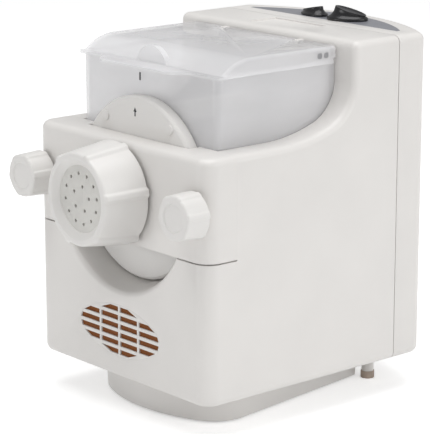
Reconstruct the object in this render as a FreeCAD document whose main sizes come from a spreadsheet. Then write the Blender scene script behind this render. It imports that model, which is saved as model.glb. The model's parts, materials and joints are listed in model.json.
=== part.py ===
import FreeCAD, Part
import math
import os
import Sketcher

# An electric pasta maker: a plastic housing with a clear mixing bowl, a die nut on its front and a
# geared motor inside. Millimetres. X is the width, Y runs from the front face to the back, Z is up.
# Every piece is drawn with the housing's front face at Y = 0 and the table at Z = 0, and its
# Placement then moves it so that the origin is under the middle of the whole machine.

DOC = FreeCAD.newDocument("pasta_maker")
SHEET = DOC.addObject("Spreadsheet::Sheet", "Sizes")
NO_SIZE = 1e-9


class Size:
    """A length, angle or count, kept with the sheet formula that gives it."""

    def __init__(self, value, text):
        self.value = float(value)
        self.text = text

    def __add__(self, other):
        other = as_size(other)
        return Size(self.value + other.value, f"({self.text} + {other.text})")

    def __sub__(self, other):
        other = as_size(other)
        return Size(self.value - other.value, f"({self.text} - {other.text})")

    def __mul__(self, other):
        other = as_size(other)
        return Size(self.value * other.value, f"({self.text} * {other.text})")

    def __truediv__(self, other):
        other = as_size(other)
        return Size(self.value / other.value, f"({self.text} / {other.text})")

    def __radd__(self, other):
        return as_size(other) + self

    def __rsub__(self, other):
        return as_size(other) - self

    def __rmul__(self, other):
        return as_size(other) * self

    def __neg__(self):
        return Size(-self.value, f"(0 - {self.text})")


def as_size(number):
    """Give a plain number the same form as a named size."""
    if isinstance(number, Size):
        return number
    return Size(number, repr(float(number)))


def root(size):
    """Square root of a size."""
    return Size(math.sqrt(size.value), f"sqrt({size.text})")


def sine(angle):
    """Sine of an angle in degrees."""
    return Size(math.sin(math.radians(angle.value)), f"sin({angle.text})")


def cosine(angle):
    """Cosine of an angle in degrees."""
    return Size(math.cos(math.radians(angle.value)), f"cos({angle.text})")


class Sizes:
    """The driving dimensions, each one a cell of the sheet with an alias."""

    def __init__(self, table):
        for row, (name, value, note) in enumerate(table, start=1):
            SHEET.set(f"A{row}", note)
            SHEET.set(f"B{row}", str(value))
            SHEET.setAlias(f"B{row}", name)
            setattr(self, name, Size(value, f"Sizes.{name}"))
        DOC.recompute()


S = Sizes([
    # Housing
    ("body_width", 210.0, "width of the housing"),
    ("underside", 29.0, "height of the housing's underside over the table"),
    ("tower_top", 292.0, "height of the tower's top"),
    ("sill_height", 220.0, "height of the sill beside the bowl"),
    ("tower_face", 150.0, "front of the tower, from the front face"),
    ("rear_seam", 197.0, "seam between the housing and the rear cover"),
    ("back_reach", 259.0, "rearmost point of the rear cover"),
    ("back_arc", 180.0, "radius of the bowed back in plan"),
    ("back_corner", 10.0, "radius of the rear corners in plan"),
    ("corner_round", 14.0, "radius of the front corners in plan"),
    ("edge_round", 6.0, "radius of the sill, tower and top edges"),
    ("bottom_round", 7.0, "radius of the bottom edges"),
    ("wall", 2.6, "wall of the housing and the rear cover"),
    ("floor_wall", 4.0, "floor of the housing and the rear cover"),
    ("ramp_start", 75.0, "where the sill starts to rise"),
    ("ramp_radius", 150.0, "radius of the rise's long sweep"),
    ("ramp_angle", 20.0, "slope at the end of the long sweep, degrees"),
    ("axis_height", 179.0, "height of the kneading and extrusion axis"),
    ("seam_gap", 0.3, "gap between neighbouring covers"),
    ("dish_length", 60.0, "finger dish in the tower's top, along X"),
    ("dish_width", 30.0, "finger dish, along Y"),
    ("dish_depth", 1.2, "finger dish, depth"),
    ("dish_front", 160.0, "front edge of the finger dish"),
    ("screw_spread", 160.0, "spacing of the rear cover screws"),
    ("screw_radius", 2.0, "radius of a cover screw"),
    ("boss_radius", 5.0, "radius of a screw boss"),
    ("screw_head", 4.0, "radius of a cover screw's head"),
    ("screw_seat", 208.0, "seat of the cover screws, from the front face"),
    ("louvre_width", 46.0, "width of a louvre slot in the back"),
    ("louvre_height", 2.6, "height of a louvre slot"),
    ("louvre_pitch", 6.5, "pitch of the louvre slots"),
    ("louvre_count", 6, "louvre slots"),
    ("louvre_low", 74.0, "height of the lowest louvre slot"),
    ("gland_height", 50.0, "height of the cord gland"),
    ("gland_flange", 10.0, "radius of the gland's flange"),
    ("gland_neck", 7.0, "radius of the gland's neck"),
    ("gland_bore", 3.5, "radius of the gland's bore"),
    ("gland_depth", 7.0, "depth of the gland"),
    ("gland_rim", 2.0, "thickness of the gland's flange"),
    # Front cover
    ("seam_height", 140.0, "height of the seam under the front cover"),
    ("cover_wrap", 30.0, "how far the front cover reaches round the sides"),
    ("cover_wall", 3.0, "wall of the front cover"),
    # Disc, nozzle, die and nut
    ("disc_face", 20.0, "front face of the chamber disc, from the front face"),
    ("disc_radius", 72.0, "radius of the chamber disc"),
    ("disc_thick", 10.0, "thickness of the chamber disc"),
    ("disc_chamfer", 2.0, "bevel of the disc's front edge"),
    ("disc_gap", 1.5, "gap round the chamber disc"),
    ("scoop_radius", 79.0, "radius of the scoop round the disc at the front face"),
    ("seal_inner", 65.2, "inner radius of the seal ring"),
    ("seal_width", 2.6, "width of the seal ring"),
    ("seal_thick", 2.0, "thickness of the seal ring"),
    ("seal_depth", 1.6, "depth of the seal's groove"),
    ("lug_angle", 53.0, "angle of the disc's lugs above the horizontal, degrees"),
    ("lug_radius", 4.2, "radius of a lug"),
    ("lug_rise", 1.4, "height of a lug"),
    ("nozzle_radius", 30.6, "outer radius of the threaded nozzle"),
    ("nozzle_bore", 20.0, "bore of the nozzle"),
    ("die_radius", 29.0, "radius of the die"),
    ("die_thick", 6.0, "thickness of the die"),
    ("die_hole", 1.35, "radius of a hole in the die"),
    ("die_ring", 19.6, "radius of the outer ring of holes"),
    ("die_ring_count", 12, "holes in the outer ring"),
    ("die_inner_ring", 9.7, "radius of the inner ring of holes"),
    ("die_turn", 8.0, "angle of the outer ring's first hole, degrees"),
    ("die_inner_turn", 8.0, "angle of the inner ring's first hole, degrees"),
    ("die_inner_count", 5, "holes in the inner ring"),
    ("nut_reach", 40.0, "how far the die nut stands out of the front face"),
    ("nut_gap", 2.5, "gap between the die nut and the front cover"),
    ("nut_lip", 5.0, "depth of the nut's front lip"),
    ("nut_opening", 26.0, "radius of the nut's opening at the die"),
    ("nut_mouth", 30.4, "radius of the nut's opening at its front"),
    ("nut_land", 0.9, "thickness of the lip where it meets the die"),
    ("nut_front", 36.0, "outer radius of the nut at its front"),
    ("nut_back", 41.0, "outer radius of the nut at its back"),
    ("nut_round", 2.5, "rounding of the nut's front edge"),
    ("rib_count", 6, "grip ribs on the nut"),
    ("rib_width", 6.0, "width of a grip rib"),
    ("rib_rise", 2.0, "height of a grip rib"),
    ("rib_turn", 10.0, "angle of the first rib above the horizontal, degrees"),
    ("rib_front", 38.0, "radius of a rib's tip at the nut's front"),
    ("thread_play", 0.08, "radial play of the nut's thread"),
    # Thumb knobs
    ("knob_spread", 188.6, "spacing of the two thumb knobs"),
    ("knob_reach", 23.0, "how far the thumb knobs stand out of the front face"),
    ("knob_back", 17.6, "radius of a thumb knob at its back"),
    ("knob_front", 16.0, "radius of a thumb knob at its face"),
    ("knob_dimple", 10.5, "radius of the dimple in its face"),
    ("knob_bore", 14.0, "depth of the threaded hole in a thumb knob"),
    ("knob_round", 2.0, "rounding of the knob's face"),
    ("dimple_depth", 1.0, "depth of the dimple"),
    ("knob_rib_width", 5.0, "width of a rib on a thumb knob"),
    ("knob_rib_rise", 0.9, "height of a rib on a thumb knob"),
    ("stud_reach", 18.0, "how far a stud stands out of the front face"),
    ("stud_radius", 4.0, "radius of a clamp stud"),
    ("running_fit", 0.06, "radial play of a turning fit"),
    ("loose_gap", 0.5, "radial gap where nothing bears"),
    # Bowl and lid
    ("bowl_front", 30.5, "front of the bowl, from the front face"),
    ("bowl_back", 149.4, "back of the bowl, from the front face"),
    ("bowl_width", 164.0, "width of the bowl"),
    ("bowl_rim", 276.0, "height of the bowl's rim"),
    ("bowl_wall", 2.4, "wall of the bowl"),
    ("bowl_round", 6.0, "radius of the bowl's front corners"),
    ("trough_radius", 70.0, "outer radius of the bowl's trough"),
    ("bowl_hole", 63.0, "radius of the hole in the bowl's front"),
    ("bowl_front_rim", 273.2, "height of the bowl's front wall"),
    ("bowl_step", 38.5, "where the bowl's rim steps down, from the front face"),
    ("bowl_rear_rim", 268.0, "height of the bowl's rear wall"),
    ("bowl_rear_half", 75.0, "half width of the low part of the rear wall"),
    ("shoulder_height", 207.0, "height where the bowl reaches its full width"),
    ("bay_gap", 0.6, "gap between the bowl and the housing"),
    ("lid_top", 287.0, "height of the lid's top"),
    ("lid_edge", 273.5, "height of the lid's lower edge"),
    ("lid_width", 169.2, "width of the lid"),
    ("lid_wall", 2.2, "wall of the lid"),
    ("lid_back", 148.1, "back edge of the lid, from the front face"),
    ("lid_brow", 41.0, "radius of the lid's curved front"),
    ("lid_flat", 62.0, "where the lid's flat top starts"),
    ("tab_width", 92.0, "width of the lid's pull tab"),
    ("tab_reach", 15.0, "front of the pull tab, from the front face"),
    ("grip_radius", 19.0, "radius of the half-round grip on the lid"),
    ("grip_thick", 5.0, "thickness of the grip"),
    ("brow_height", 246.0, "height of the centre of the lid's curved front"),
    ("lip_front", 28.0, "front of the lid's lip beside the tab"),
    ("lip_half", 58.0, "half width where the lip starts to run out to the tab"),
    ("lid_round", 3.0, "rounding of the lid's long edges"),
    ("lid_step", 1.4, "step inside the lid that rests on the bowl's rim"),
    ("hatch_rim", 277.5, "height of the bottom of the lid's back wall"),
    ("grip_back", 39.0, "back of the grip, from the front face"),
    ("grip_centre", 270.0, "height of the grip's centre"),
    ("trip_width", 12.0, "width of the tab that works the lid switch"),
    ("hinge_spread", 88.0, "spacing of the two lid hinges"),
    ("hinge_axis", 146.0, "hinge axis, from the front face"),
    ("hinge_height", 284.0, "height of the hinge axis"),
    ("hinge_pin", 1.5, "radius of a hinge pin"),
    ("ear_thick", 5.5, "thickness of a hinge ear"),
    ("ear_low", 273.0, "height of the bottom of a hinge ear"),
    ("knuckle_thick", 6.0, "thickness of a lid knuckle"),
    # Controls
    ("panel_front", 212.5, "straight front edge of the control panel"),
    ("panel_back", 246.0, "rearmost point of the control panel"),
    ("panel_width", 174.0, "width of the control panel"),
    ("panel_arc", 141.0, "radius of the panel's bowed back"),
    ("panel_thick", 1.5, "thickness of the control panel"),
    ("dial_spread", 39.0, "spacing of the two control knobs"),
    ("dial_row", 223.5, "control knobs, from the front face"),
    ("spindle_radius", 3.0, "radius of a knob's spindle"),
    ("mode_length", 32.0, "length of the mode knob"),
    ("mode_width", 20.0, "width of the mode knob"),
    ("mode_rise", 10.8, "height of the mode knob"),
    ("mode_turn", 30.0, "where the mode knob points at rest, degrees from +X"),
    ("power_length", 24.0, "length of the power knob"),
    ("power_width", 17.6, "width of the power knob"),
    ("power_rise", 7.4, "height of the power knob"),
    ("power_turn", 170.0, "where the power knob points at rest, degrees from +X"),
    ("skirt_rise", 2.2, "height of a control knob's skirt"),
    ("toe_rise", 3.4, "height of a control knob's low end"),
    ("switch_radius", 11.0, "radius of a rotary switch"),
    ("switch_depth", 18.0, "depth of a rotary switch"),
    ("dial_top", 1.6, "rounding of a control knob's top edge"),
    ("spindle_foot", 22.0, "how far a spindle reaches under the panel"),
    ("spindle_head", 3.2, "how far a spindle reaches over the panel"),
    # Vent
    ("vent_height", 68.0, "height of the middle of the vent"),
    ("vent_width", 100.0, "width of the oval vent"),
    ("vent_tall", 42.0, "height of the oval vent"),
    ("vent_end", 11.0, "radius of the oval's ends"),
    ("vent_rim", 1.0, "rim round the slots"),
    ("slat_pitch", 6.9, "pitch of the slots"),
    ("slat_width", 2.7, "height of a bar between two slots"),
    ("mullion_pitch", 23.5, "pitch of the upright bars"),
    ("mullion_width", 2.1, "width of an upright bar"),
    ("slat_depth", 1.4, "thickness of the bars"),
    ("flange_width", 3.0, "flange behind the vent"),
    ("flange_thick", 1.6, "thickness of the flange"),
    ("screen_thick", 2.0, "thickness of the dust screen"),
    # Plinth and feet
    ("plinth_front", 20.0, "front of the plinth, from the front face"),
    ("plinth_back", 206.0, "back of the plinth"),
    ("plinth_bow", 128.0, "radius of the plinth's bowed front"),
    ("plinth_bow_half", 57.0, "half width of the bowed front"),
    ("plinth_cheek", 30.0, "radius of the plinth's front corners"),
    ("plinth_wide", 73.5, "half width of the plinth at its widest"),
    ("plinth_wide_at", 62.0, "where the plinth is widest"),
    ("plinth_tail", 53.0, "half width of the plinth at its back"),
    ("plinth_draft", 1.4, "how much wider the plinth is at its top"),
    ("foot_rise", 1.5, "height of the front foot pads"),
    ("foot_radius", 7.0, "radius of a front foot pad"),
    ("foot_spread", 90.0, "spacing of the front foot pads"),
    ("foot_row", 58.0, "front foot pads, from the front face"),
    ("leg_radius", 5.0, "radius of a rear leg"),
    ("leg_spread", 118.8, "spacing of the rear legs"),
    ("leg_row", 213.8, "rear legs, from the front face"),
    ("leg_cap", 6.0, "height of the rubber cap on a rear leg"),
    ("plinth_flare", 2.8, "flare of the plinth's side, degrees"),
    ("cap_margin", 0.7, "how much wider a leg's cap is than the leg"),
    # Drive
    ("shaft_radius", 6.0, "radius of the drive shaft"),
    ("bush_radius", 10.0, "outer radius of the drive shaft's bush"),
    ("bush_length", 16.0, "length of the bush"),
    ("module_slow", 1.5, "tooth module of the slow gear pair"),
    ("module_fast", 1.0, "tooth module of the fast gear pair"),
    ("drive_teeth", 70, "teeth on the output gear"),
    ("idler_teeth", 16, "teeth on the idler pinion"),
    ("wheel_teeth", 71, "teeth on the idler wheel"),
    ("pinion_teeth", 14, "teeth on the motor pinion"),
    ("backlash", 0.18, "play between two meshing teeth"),
    ("wheel_face", 168.0, "front of the idler wheel, from the front face"),
    ("wheel_thick", 7.0, "face width of the fast gear pair"),
    ("gear_face", 178.0, "front of the output gear, from the front face"),
    ("gear_thick", 10.0, "face width of the slow gear pair"),
    ("idler_axle", 4.0, "radius of the idler's axle"),
    ("plate_face", 191.0, "front of the gear plate, from the front face"),
    ("plate_thick", 3.0, "thickness of the gear plate"),
    ("paddle_radius", 62.0, "reach of the mixing paddle"),
    ("paddle_hub", 11.0, "radius of the paddle's hub"),
    ("paddle_front", 48.0, "front end of the paddle's hub"),
    ("paddle_back", 144.0, "back end of the paddle's hub"),
    ("blade_thick", 6.0, "thickness of a paddle arm"),
    ("blade_width", 13.0, "width of a paddle arm"),
    ("auger_radius", 19.3, "radius of the auger's flight"),
    ("auger_core", 8.5, "radius of the auger's core"),
    ("auger_pitch", 22.0, "pitch of the auger's flight"),
    ("flight_thick", 4.0, "thickness of the auger's flight"),
    ("auger_back", 47.6, "back end of the auger, from the front face"),
    ("motor_radius", 30.0, "radius of the motor's stator"),
    ("stator_front", 84.0, "front of the stator, from the front face"),
    ("stator_length", 40.0, "length of the stator"),
    ("stator_bore", 16.0, "bore of the stator"),
    ("air_gap", 0.5, "air gap between rotor and stator"),
    ("rotor_shaft", 3.0, "radius of the motor's shaft"),
    ("winding_length", 12.0, "how far a winding stands out of the stator"),
    ("winding_inner", 18.5, "inner radius of a winding"),
    ("winding_outer", 27.5, "outer radius of a winding"),
    ("bracket_gap", 3.0, "gap between a winding and the bracket beyond it"),
    ("bracket_thick", 4.0, "thickness of a motor bracket"),
    ("bearing_radius", 8.0, "outer radius of a motor bearing"),
    ("fan_front", 50.0, "front of the cooling fan, from the front face"),
    ("fan_radius", 27.0, "radius of the cooling fan"),
    ("fan_depth", 11.0, "depth of the cooling fan"),
    ("fan_blades", 7, "blades of the cooling fan"),
    ("shaft_front", 30.0, "front end of the drive shaft, from the front face"),
    ("plate_half", 70.0, "half width of the gear plate at its top"),
    ("plate_top", 236.0, "height of the gear plate's top"),
    ("plate_waist", 46.0, "half width of the gear plate at its waist"),
    ("plate_foot", 22.0, "half width of the gear plate at its foot"),
    ("post_radius", 4.0, "radius of a gear plate post"),
    ("post_high", 225.0, "height of the upper posts"),
    ("post_high_half", 62.0, "upper posts, from the middle"),
    ("post_low", 128.0, "height of the lower posts"),
    ("post_low_half", 40.0, "lower posts, from the middle"),
    ("axle_boss", 8.0, "radius of the boss that carries the idler's axle"),
    ("axle_boss_depth", 9.0, "depth of that boss"),
    ("stator_half", 30.0, "half width of the square stator"),
    ("bolt_radius", 1.8, "radius of a motor bolt"),
    ("bolt_place", 25.5, "motor bolts, from the motor's axis"),
    ("fan_hub", 8.0, "radius of the fan's hub"),
    ("fan_blade", 1.6, "thickness of a fan blade"),
    ("fan_disc", 1.5, "thickness of the fan's disc"),
    ("loop_inner", 20.0, "inner radius of the paddle's loop"),
    ("board_length", 30.0, "length of the control board"),
    ("board_height", 80.0, "height of the control board"),
    ("board_thick", 1.6, "thickness of the control board"),
    ("board_low", 120.0, "height of the board's lower edge"),
    ("board_front", 160.0, "front edge of the board, from the front face"),
    ("spacer_length", 4.4, "length of a spacer under the board"),
    ("spacer_radius", 2.5, "radius of a spacer"),
    ("relay_size", 14.0, "size of the relay on the board"),
    # Lid switch
    ("plunger_radius", 2.5, "radius of the lid switch's plunger"),
    ("plunger_side", 66.0, "plunger, from the middle"),
    ("plunger_height", 276.0, "height of the plunger"),
    ("plunger_length", 14.0, "length of the plunger"),
    ("trip_case_width", 18.0, "width of the lid switch"),
    ("trip_case_height", 12.0, "height of the lid switch"),
    ("trip_case_depth", 16.0, "depth of the lid switch"),
    ("plunger_play", 0.3, "gap between the plunger and the lid's tab"),
])

HALF = S.body_width / 2
IDLER_HEIGHT = S.axis_height - S.module_slow * (S.drive_teeth + S.idler_teeth) / 2
MOTOR_HEIGHT = IDLER_HEIGHT - S.module_fast * (S.wheel_teeth + S.pinion_teeth) / 2
BULKHEAD = S.disc_face + S.seam_gap
DISC_BACK = S.disc_face + S.disc_thick
NOZZLE_FRONT = S.nut_lip + S.die_thick - S.nut_reach
SHIFT = (S.nut_reach - S.back_reach) / 2
PARTS = []


def place(piece, across=0.0, along=0.0, up=0.0, angle=None):
    """Put a finished piece in its place, with the origin under the middle of the machine."""
    if angle is not None:
        upward = FreeCAD.Vector(0, 0, 1)
        piece.Placement.Rotation = FreeCAD.Rotation(upward, angle.value)
        piece.setExpression("Placement.Rotation.Angle", angle.text)
    piece.setExpression("Placement.Base.x", as_size(across).text)
    piece.setExpression("Placement.Base.y", (SHIFT + along).text)
    piece.setExpression("Placement.Base.z", as_size(up).text)
    PARTS.append(piece)
    return piece


def bind(feature, **sizes):
    """Tie properties of a feature to the sheet."""
    for name, size in sizes.items():
        feature.setExpression(name, as_size(size).text)
    return feature


def new_body(label):
    """Start a sub-part."""
    body = DOC.addObject("PartDesign::Body", label)
    body.Label = label
    return body


def new_sketch(body, role, offset=0.0, across=0.0, along=0.0):
    """Attach a sketch to one of the body's own planes.

    offset moves it along the plane's normal, across and along within the plane."""
    support = next(item for item in body.Origin.OriginFeatures if item.Role == role)
    sketch = body.newObject("Sketcher::SketchObject", f"{body.Name}_sketch")
    sketch.AttachmentSupport = (support, [""])
    sketch.MapMode = "FlatFace"
    moves = (("x", as_size(across)), ("y", as_size(along)), ("z", as_size(offset)))
    for axis, size in moves:
        if abs(size.value) > NO_SIZE:
            sketch.setExpression(f"AttachmentOffset.Base.{axis}", size.text)
    return sketch


def front_sketch(body, depth=0.0, across=0.0, height=0.0):
    """A sketch that faces the front, depth behind the front face: x is X and y is Z."""
    return new_sketch(body, "XZ_Plane", offset=-as_size(depth), across=across, along=height)


def side_sketch(body, across=0.0, height=0.0):
    """A sketch that faces the side, across from the middle: x is Y and y is Z."""
    return new_sketch(body, "YZ_Plane", offset=across, along=height)


def plan_sketch(body, height=0.0, across=0.0, along=0.0):
    """A sketch that lies flat at a height: x is X and y is Y."""
    return new_sketch(body, "XY_Plane", offset=height, across=across, along=along)


def pin_point(sketch, geometry, position, corner):
    """Fix a point of a sketch by its two coordinates."""
    for kind, axis, coordinate in (("DistanceX", -2, corner[0]), ("DistanceY", -1, corner[1])):
        size = as_size(coordinate)
        if abs(size.value) < NO_SIZE:
            sketch.addConstraint(Sketcher.Constraint("PointOnObject", geometry, position, axis))
        elif size.value > 0:
            index = sketch.addConstraint(
                Sketcher.Constraint(kind, -1, 1, geometry, position, size.value))
            sketch.setExpression(f"Constraints[{index}]", size.text)
        else:
            index = sketch.addConstraint(
                Sketcher.Constraint(kind, geometry, position, -1, 1, -size.value))
            sketch.setExpression(f"Constraints[{index}]", (-size).text)


def arc_between(start, end, radius):
    """An arc under a half turn; a positive radius turns left on the way from start to end."""
    chord = end - start
    half = chord.Length / 2
    left = FreeCAD.Vector(-chord.y, chord.x, 0).normalize()
    reach = math.sqrt(max(radius * radius - half * half, 0.0))
    centre = (start + end) / 2 + left * math.copysign(reach, radius)
    first, last = (start, end) if radius > 0 else (end, start)
    angles = [math.atan2(point.y - centre.y, point.x - centre.x) for point in (first, last)]
    circle = Part.Circle(centre, FreeCAD.Vector(0, 0, 1), abs(radius))
    return Part.ArcOfCircle(circle, angles[0], angles[1])


def outline(sketch, corners):
    """Draw a closed outline, fixed by its corners.

    A corner is (x, y), or (x, y, radius) where an arc of that radius leads to it. A positive
    radius turns left."""
    points = [FreeCAD.Vector(as_size(c[0]).value, as_size(c[1]).value, 0) for c in corners]
    ends = []
    for index, corner in enumerate(corners):
        start, end = points[index - 1], points[index]
        if len(corner) == 3:
            radius = as_size(corner[2])
            run = sketch.addGeometry(arc_between(start, end, radius.value))
            pair = (1, 2) if radius.value > 0 else (2, 1)
            size = radius if radius.value > 0 else -radius
            fixed = sketch.addConstraint(Sketcher.Constraint("Radius", run, size.value))
            sketch.setExpression(f"Constraints[{fixed}]", size.text)
        else:
            run = sketch.addGeometry(Part.LineSegment(start, end))
            pair = (1, 2)
        ends.append((run, *pair))
    for index, (run, first, last) in enumerate(ends):
        before = ends[index - 1]
        sketch.addConstraint(Sketcher.Constraint("Coincident", before[0], before[2], run, first))
        pin_point(sketch, run, last, corners[index])
    return sketch


def circle(sketch, radius, x=0.0, y=0.0):
    """Draw a circle, fixed by its centre and radius."""
    size = as_size(radius)
    centre = FreeCAD.Vector(as_size(x).value, as_size(y).value, 0)
    ring = sketch.addGeometry(Part.Circle(centre, FreeCAD.Vector(0, 0, 1), size.value))
    index = sketch.addConstraint(Sketcher.Constraint("Radius", ring, size.value))
    sketch.setExpression(f"Constraints[{index}]", size.text)
    pin_point(sketch, ring, 3, (x, y))
    return sketch


def rectangle(sketch, left, low, right, high):
    """Draw an upright rectangle."""
    return outline(sketch, [(left, low), (right, low), (right, high), (left, high)])


def extrude(kind, body, sketch, length, flip=False, both=False, taper=None):
    """Add or cut a prism over a sketch."""
    feature = body.newObject(f"PartDesign::{kind}", f"{body.Name}_{kind}")
    feature.Profile = sketch
    feature.Reversed = flip
    if both:
        feature.SideType = "Symmetric"
    bind(feature, Length=length)
    if taper is not None:
        bind(feature, TaperAngle=taper)
    return feature


def pad(body, sketch, length, **options):
    """Add a prism over a sketch, towards its normal."""
    return extrude("Pad", body, sketch, length, **options)


def pocket(body, sketch, length, **options):
    """Cut a prism under a sketch, and check that it takes material away."""
    DOC.recompute()
    before = body.Shape.Volume
    feature = extrude("Pocket", body, sketch, length, **options)
    DOC.recompute()
    if body.Shape.Volume > before - NO_SIZE:
        raise ValueError(f"a cut in {body.Label} takes nothing away")
    return feature


def turn(body, corners, height=0.0, across=0.0, cut=False):
    """Turn a profile of (distance from the front face, radius) round an axis along Y."""
    sketch = outline(side_sketch(body, across=across, height=height), corners)
    kind = "Groove" if cut else "Revolution"
    DOC.recompute()
    before = body.Shape.Volume if cut else 0.0
    feature = body.newObject(f"PartDesign::{kind}", f"{body.Name}_{kind}")
    feature.Profile = sketch
    feature.ReferenceAxis = (sketch, ["H_Axis"])
    feature.Angle = 360.0
    if cut:
        DOC.recompute()
        if body.Shape.Volume > before - NO_SIZE:
            raise ValueError(f"a groove in {body.Label} takes nothing away")
    return feature


def around(body, feature, sketch, count, angle=360.0):
    """Repeat a feature round the normal of a sketch."""
    pattern = body.newObject("PartDesign::PolarPattern", f"{body.Name}_ring")
    pattern.Originals = [feature]
    pattern.Axis = (sketch, ["N_Axis"])
    pattern.Angle = angle
    bind(pattern, Occurrences=count)
    body.Tip = pattern
    DOC.recompute()
    return pattern


def mirror(body, features):
    """Repeat features on the other side of the middle."""
    pattern = body.newObject("PartDesign::Mirrored", f"{body.Name}_mirror")
    pattern.Originals = features
    support = next(item for item in body.Origin.OriginFeatures if item.Role == "YZ_Plane")
    pattern.MirrorPlane = (support, [""])
    body.Tip = pattern
    DOC.recompute()
    return pattern


def pick_edges(body, wanted):
    """Names of the edges of a body's present shape that a test wants."""
    DOC.recompute()
    edges = body.Tip.Shape.Edges
    return [f"Edge{number}" for number, edge in enumerate(edges, start=1) if wanted(edge)]


def soften(kind, body, wanted, size):
    """Fillet or chamfer the wanted edges."""
    names = pick_edges(body, wanted)
    base = body.Tip
    feature = body.newObject(f"PartDesign::{kind}", f"{body.Name}_{kind}")
    feature.Base = (base, names)
    bind(feature, **{"Radius" if kind == "Fillet" else "Size": size})
    DOC.recompute()
    return feature


def near(value, size):
    """Whether a coordinate is the one that a size gives."""
    return abs(value - as_size(size).value) < 0.01


def flat_at(edge, size):
    """Whether an edge lies flat at a height."""
    box = edge.BoundBox
    return near(box.ZMin, size) and near(box.ZMax, size)


def upright_at(edge, across, depth):
    """Whether an edge stands upright at a place in plan."""
    box = edge.BoundBox
    straight = box.XLength < 0.01 and box.YLength < 0.01
    return straight and near(abs(box.XMin), across) and near(box.YMin, depth)


def inset_plan(inset, back):
    """The housing's plan, drawn in by an inset and ending at back."""
    half = HALF - inset
    turn_radius = S.corner_round - inset
    return [
        (-half, back),
        (-half, S.corner_round),
        (-HALF + S.corner_round, inset, turn_radius),
        (HALF - S.corner_round, inset),
        (half, S.corner_round, turn_radius),
        (half, back),
    ]


def bay_section(gap, top):
    """The bowl's cross-section with a gap round it, open at the top."""
    half = S.bowl_width / 2 + gap
    trough = S.trough_radius + gap
    return [
        (-half, top),
        (-half, S.shoulder_height),
        (-trough, S.axis_height),
        (0.0, S.axis_height - trough, trough),
        (trough, S.axis_height, trough),
        (half, S.shoulder_height),
        (half, top),
    ]


def oval(grow):
    """The four-arc oval of the vent, grown by a margin, about the vent's middle."""
    wide = S.vent_width / 2 + grow
    tall = S.vent_tall / 2 + grow
    end = S.vent_end + grow
    reach = wide - end
    crown = (reach * reach + tall * tall - end * end) / ((tall - end) * 2)
    share = end / (crown - end)
    x = reach + reach * share
    z = (crown - tall) * share
    return [(-x, -z, crown), (x, -z, crown), (x, z, end), (-x, z, crown), (-x, -z, end)][1:]


def vent_chord(height):
    """Half the width of the vent's slotted field at a height over its middle."""
    wide = S.vent_width / 2 - S.vent_rim
    tall = S.vent_tall / 2 - S.vent_rim
    end = S.vent_end - S.vent_rim
    reach = wide - end
    crown = (reach * reach + tall * tall - end * end) / ((tall - end) * 2)
    step = (crown - tall) * end / (crown - end)
    if abs(height.value) < step.value:
        return reach + root(end * end - height * height)
    rise = (height if height.value > 0 else -height) + crown - tall
    return root(crown * crown - rise * rise)


def screw_places():
    """The four cover screws, as (x, z)."""
    low = S.underside + S.floor_wall + S.boss_radius * 0.9
    high = S.tower_top - S.wall - S.boss_radius * 0.9
    half = S.screw_spread / 2
    return [(half, low), (-half, low), (half, high), (-half, high)]


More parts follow.
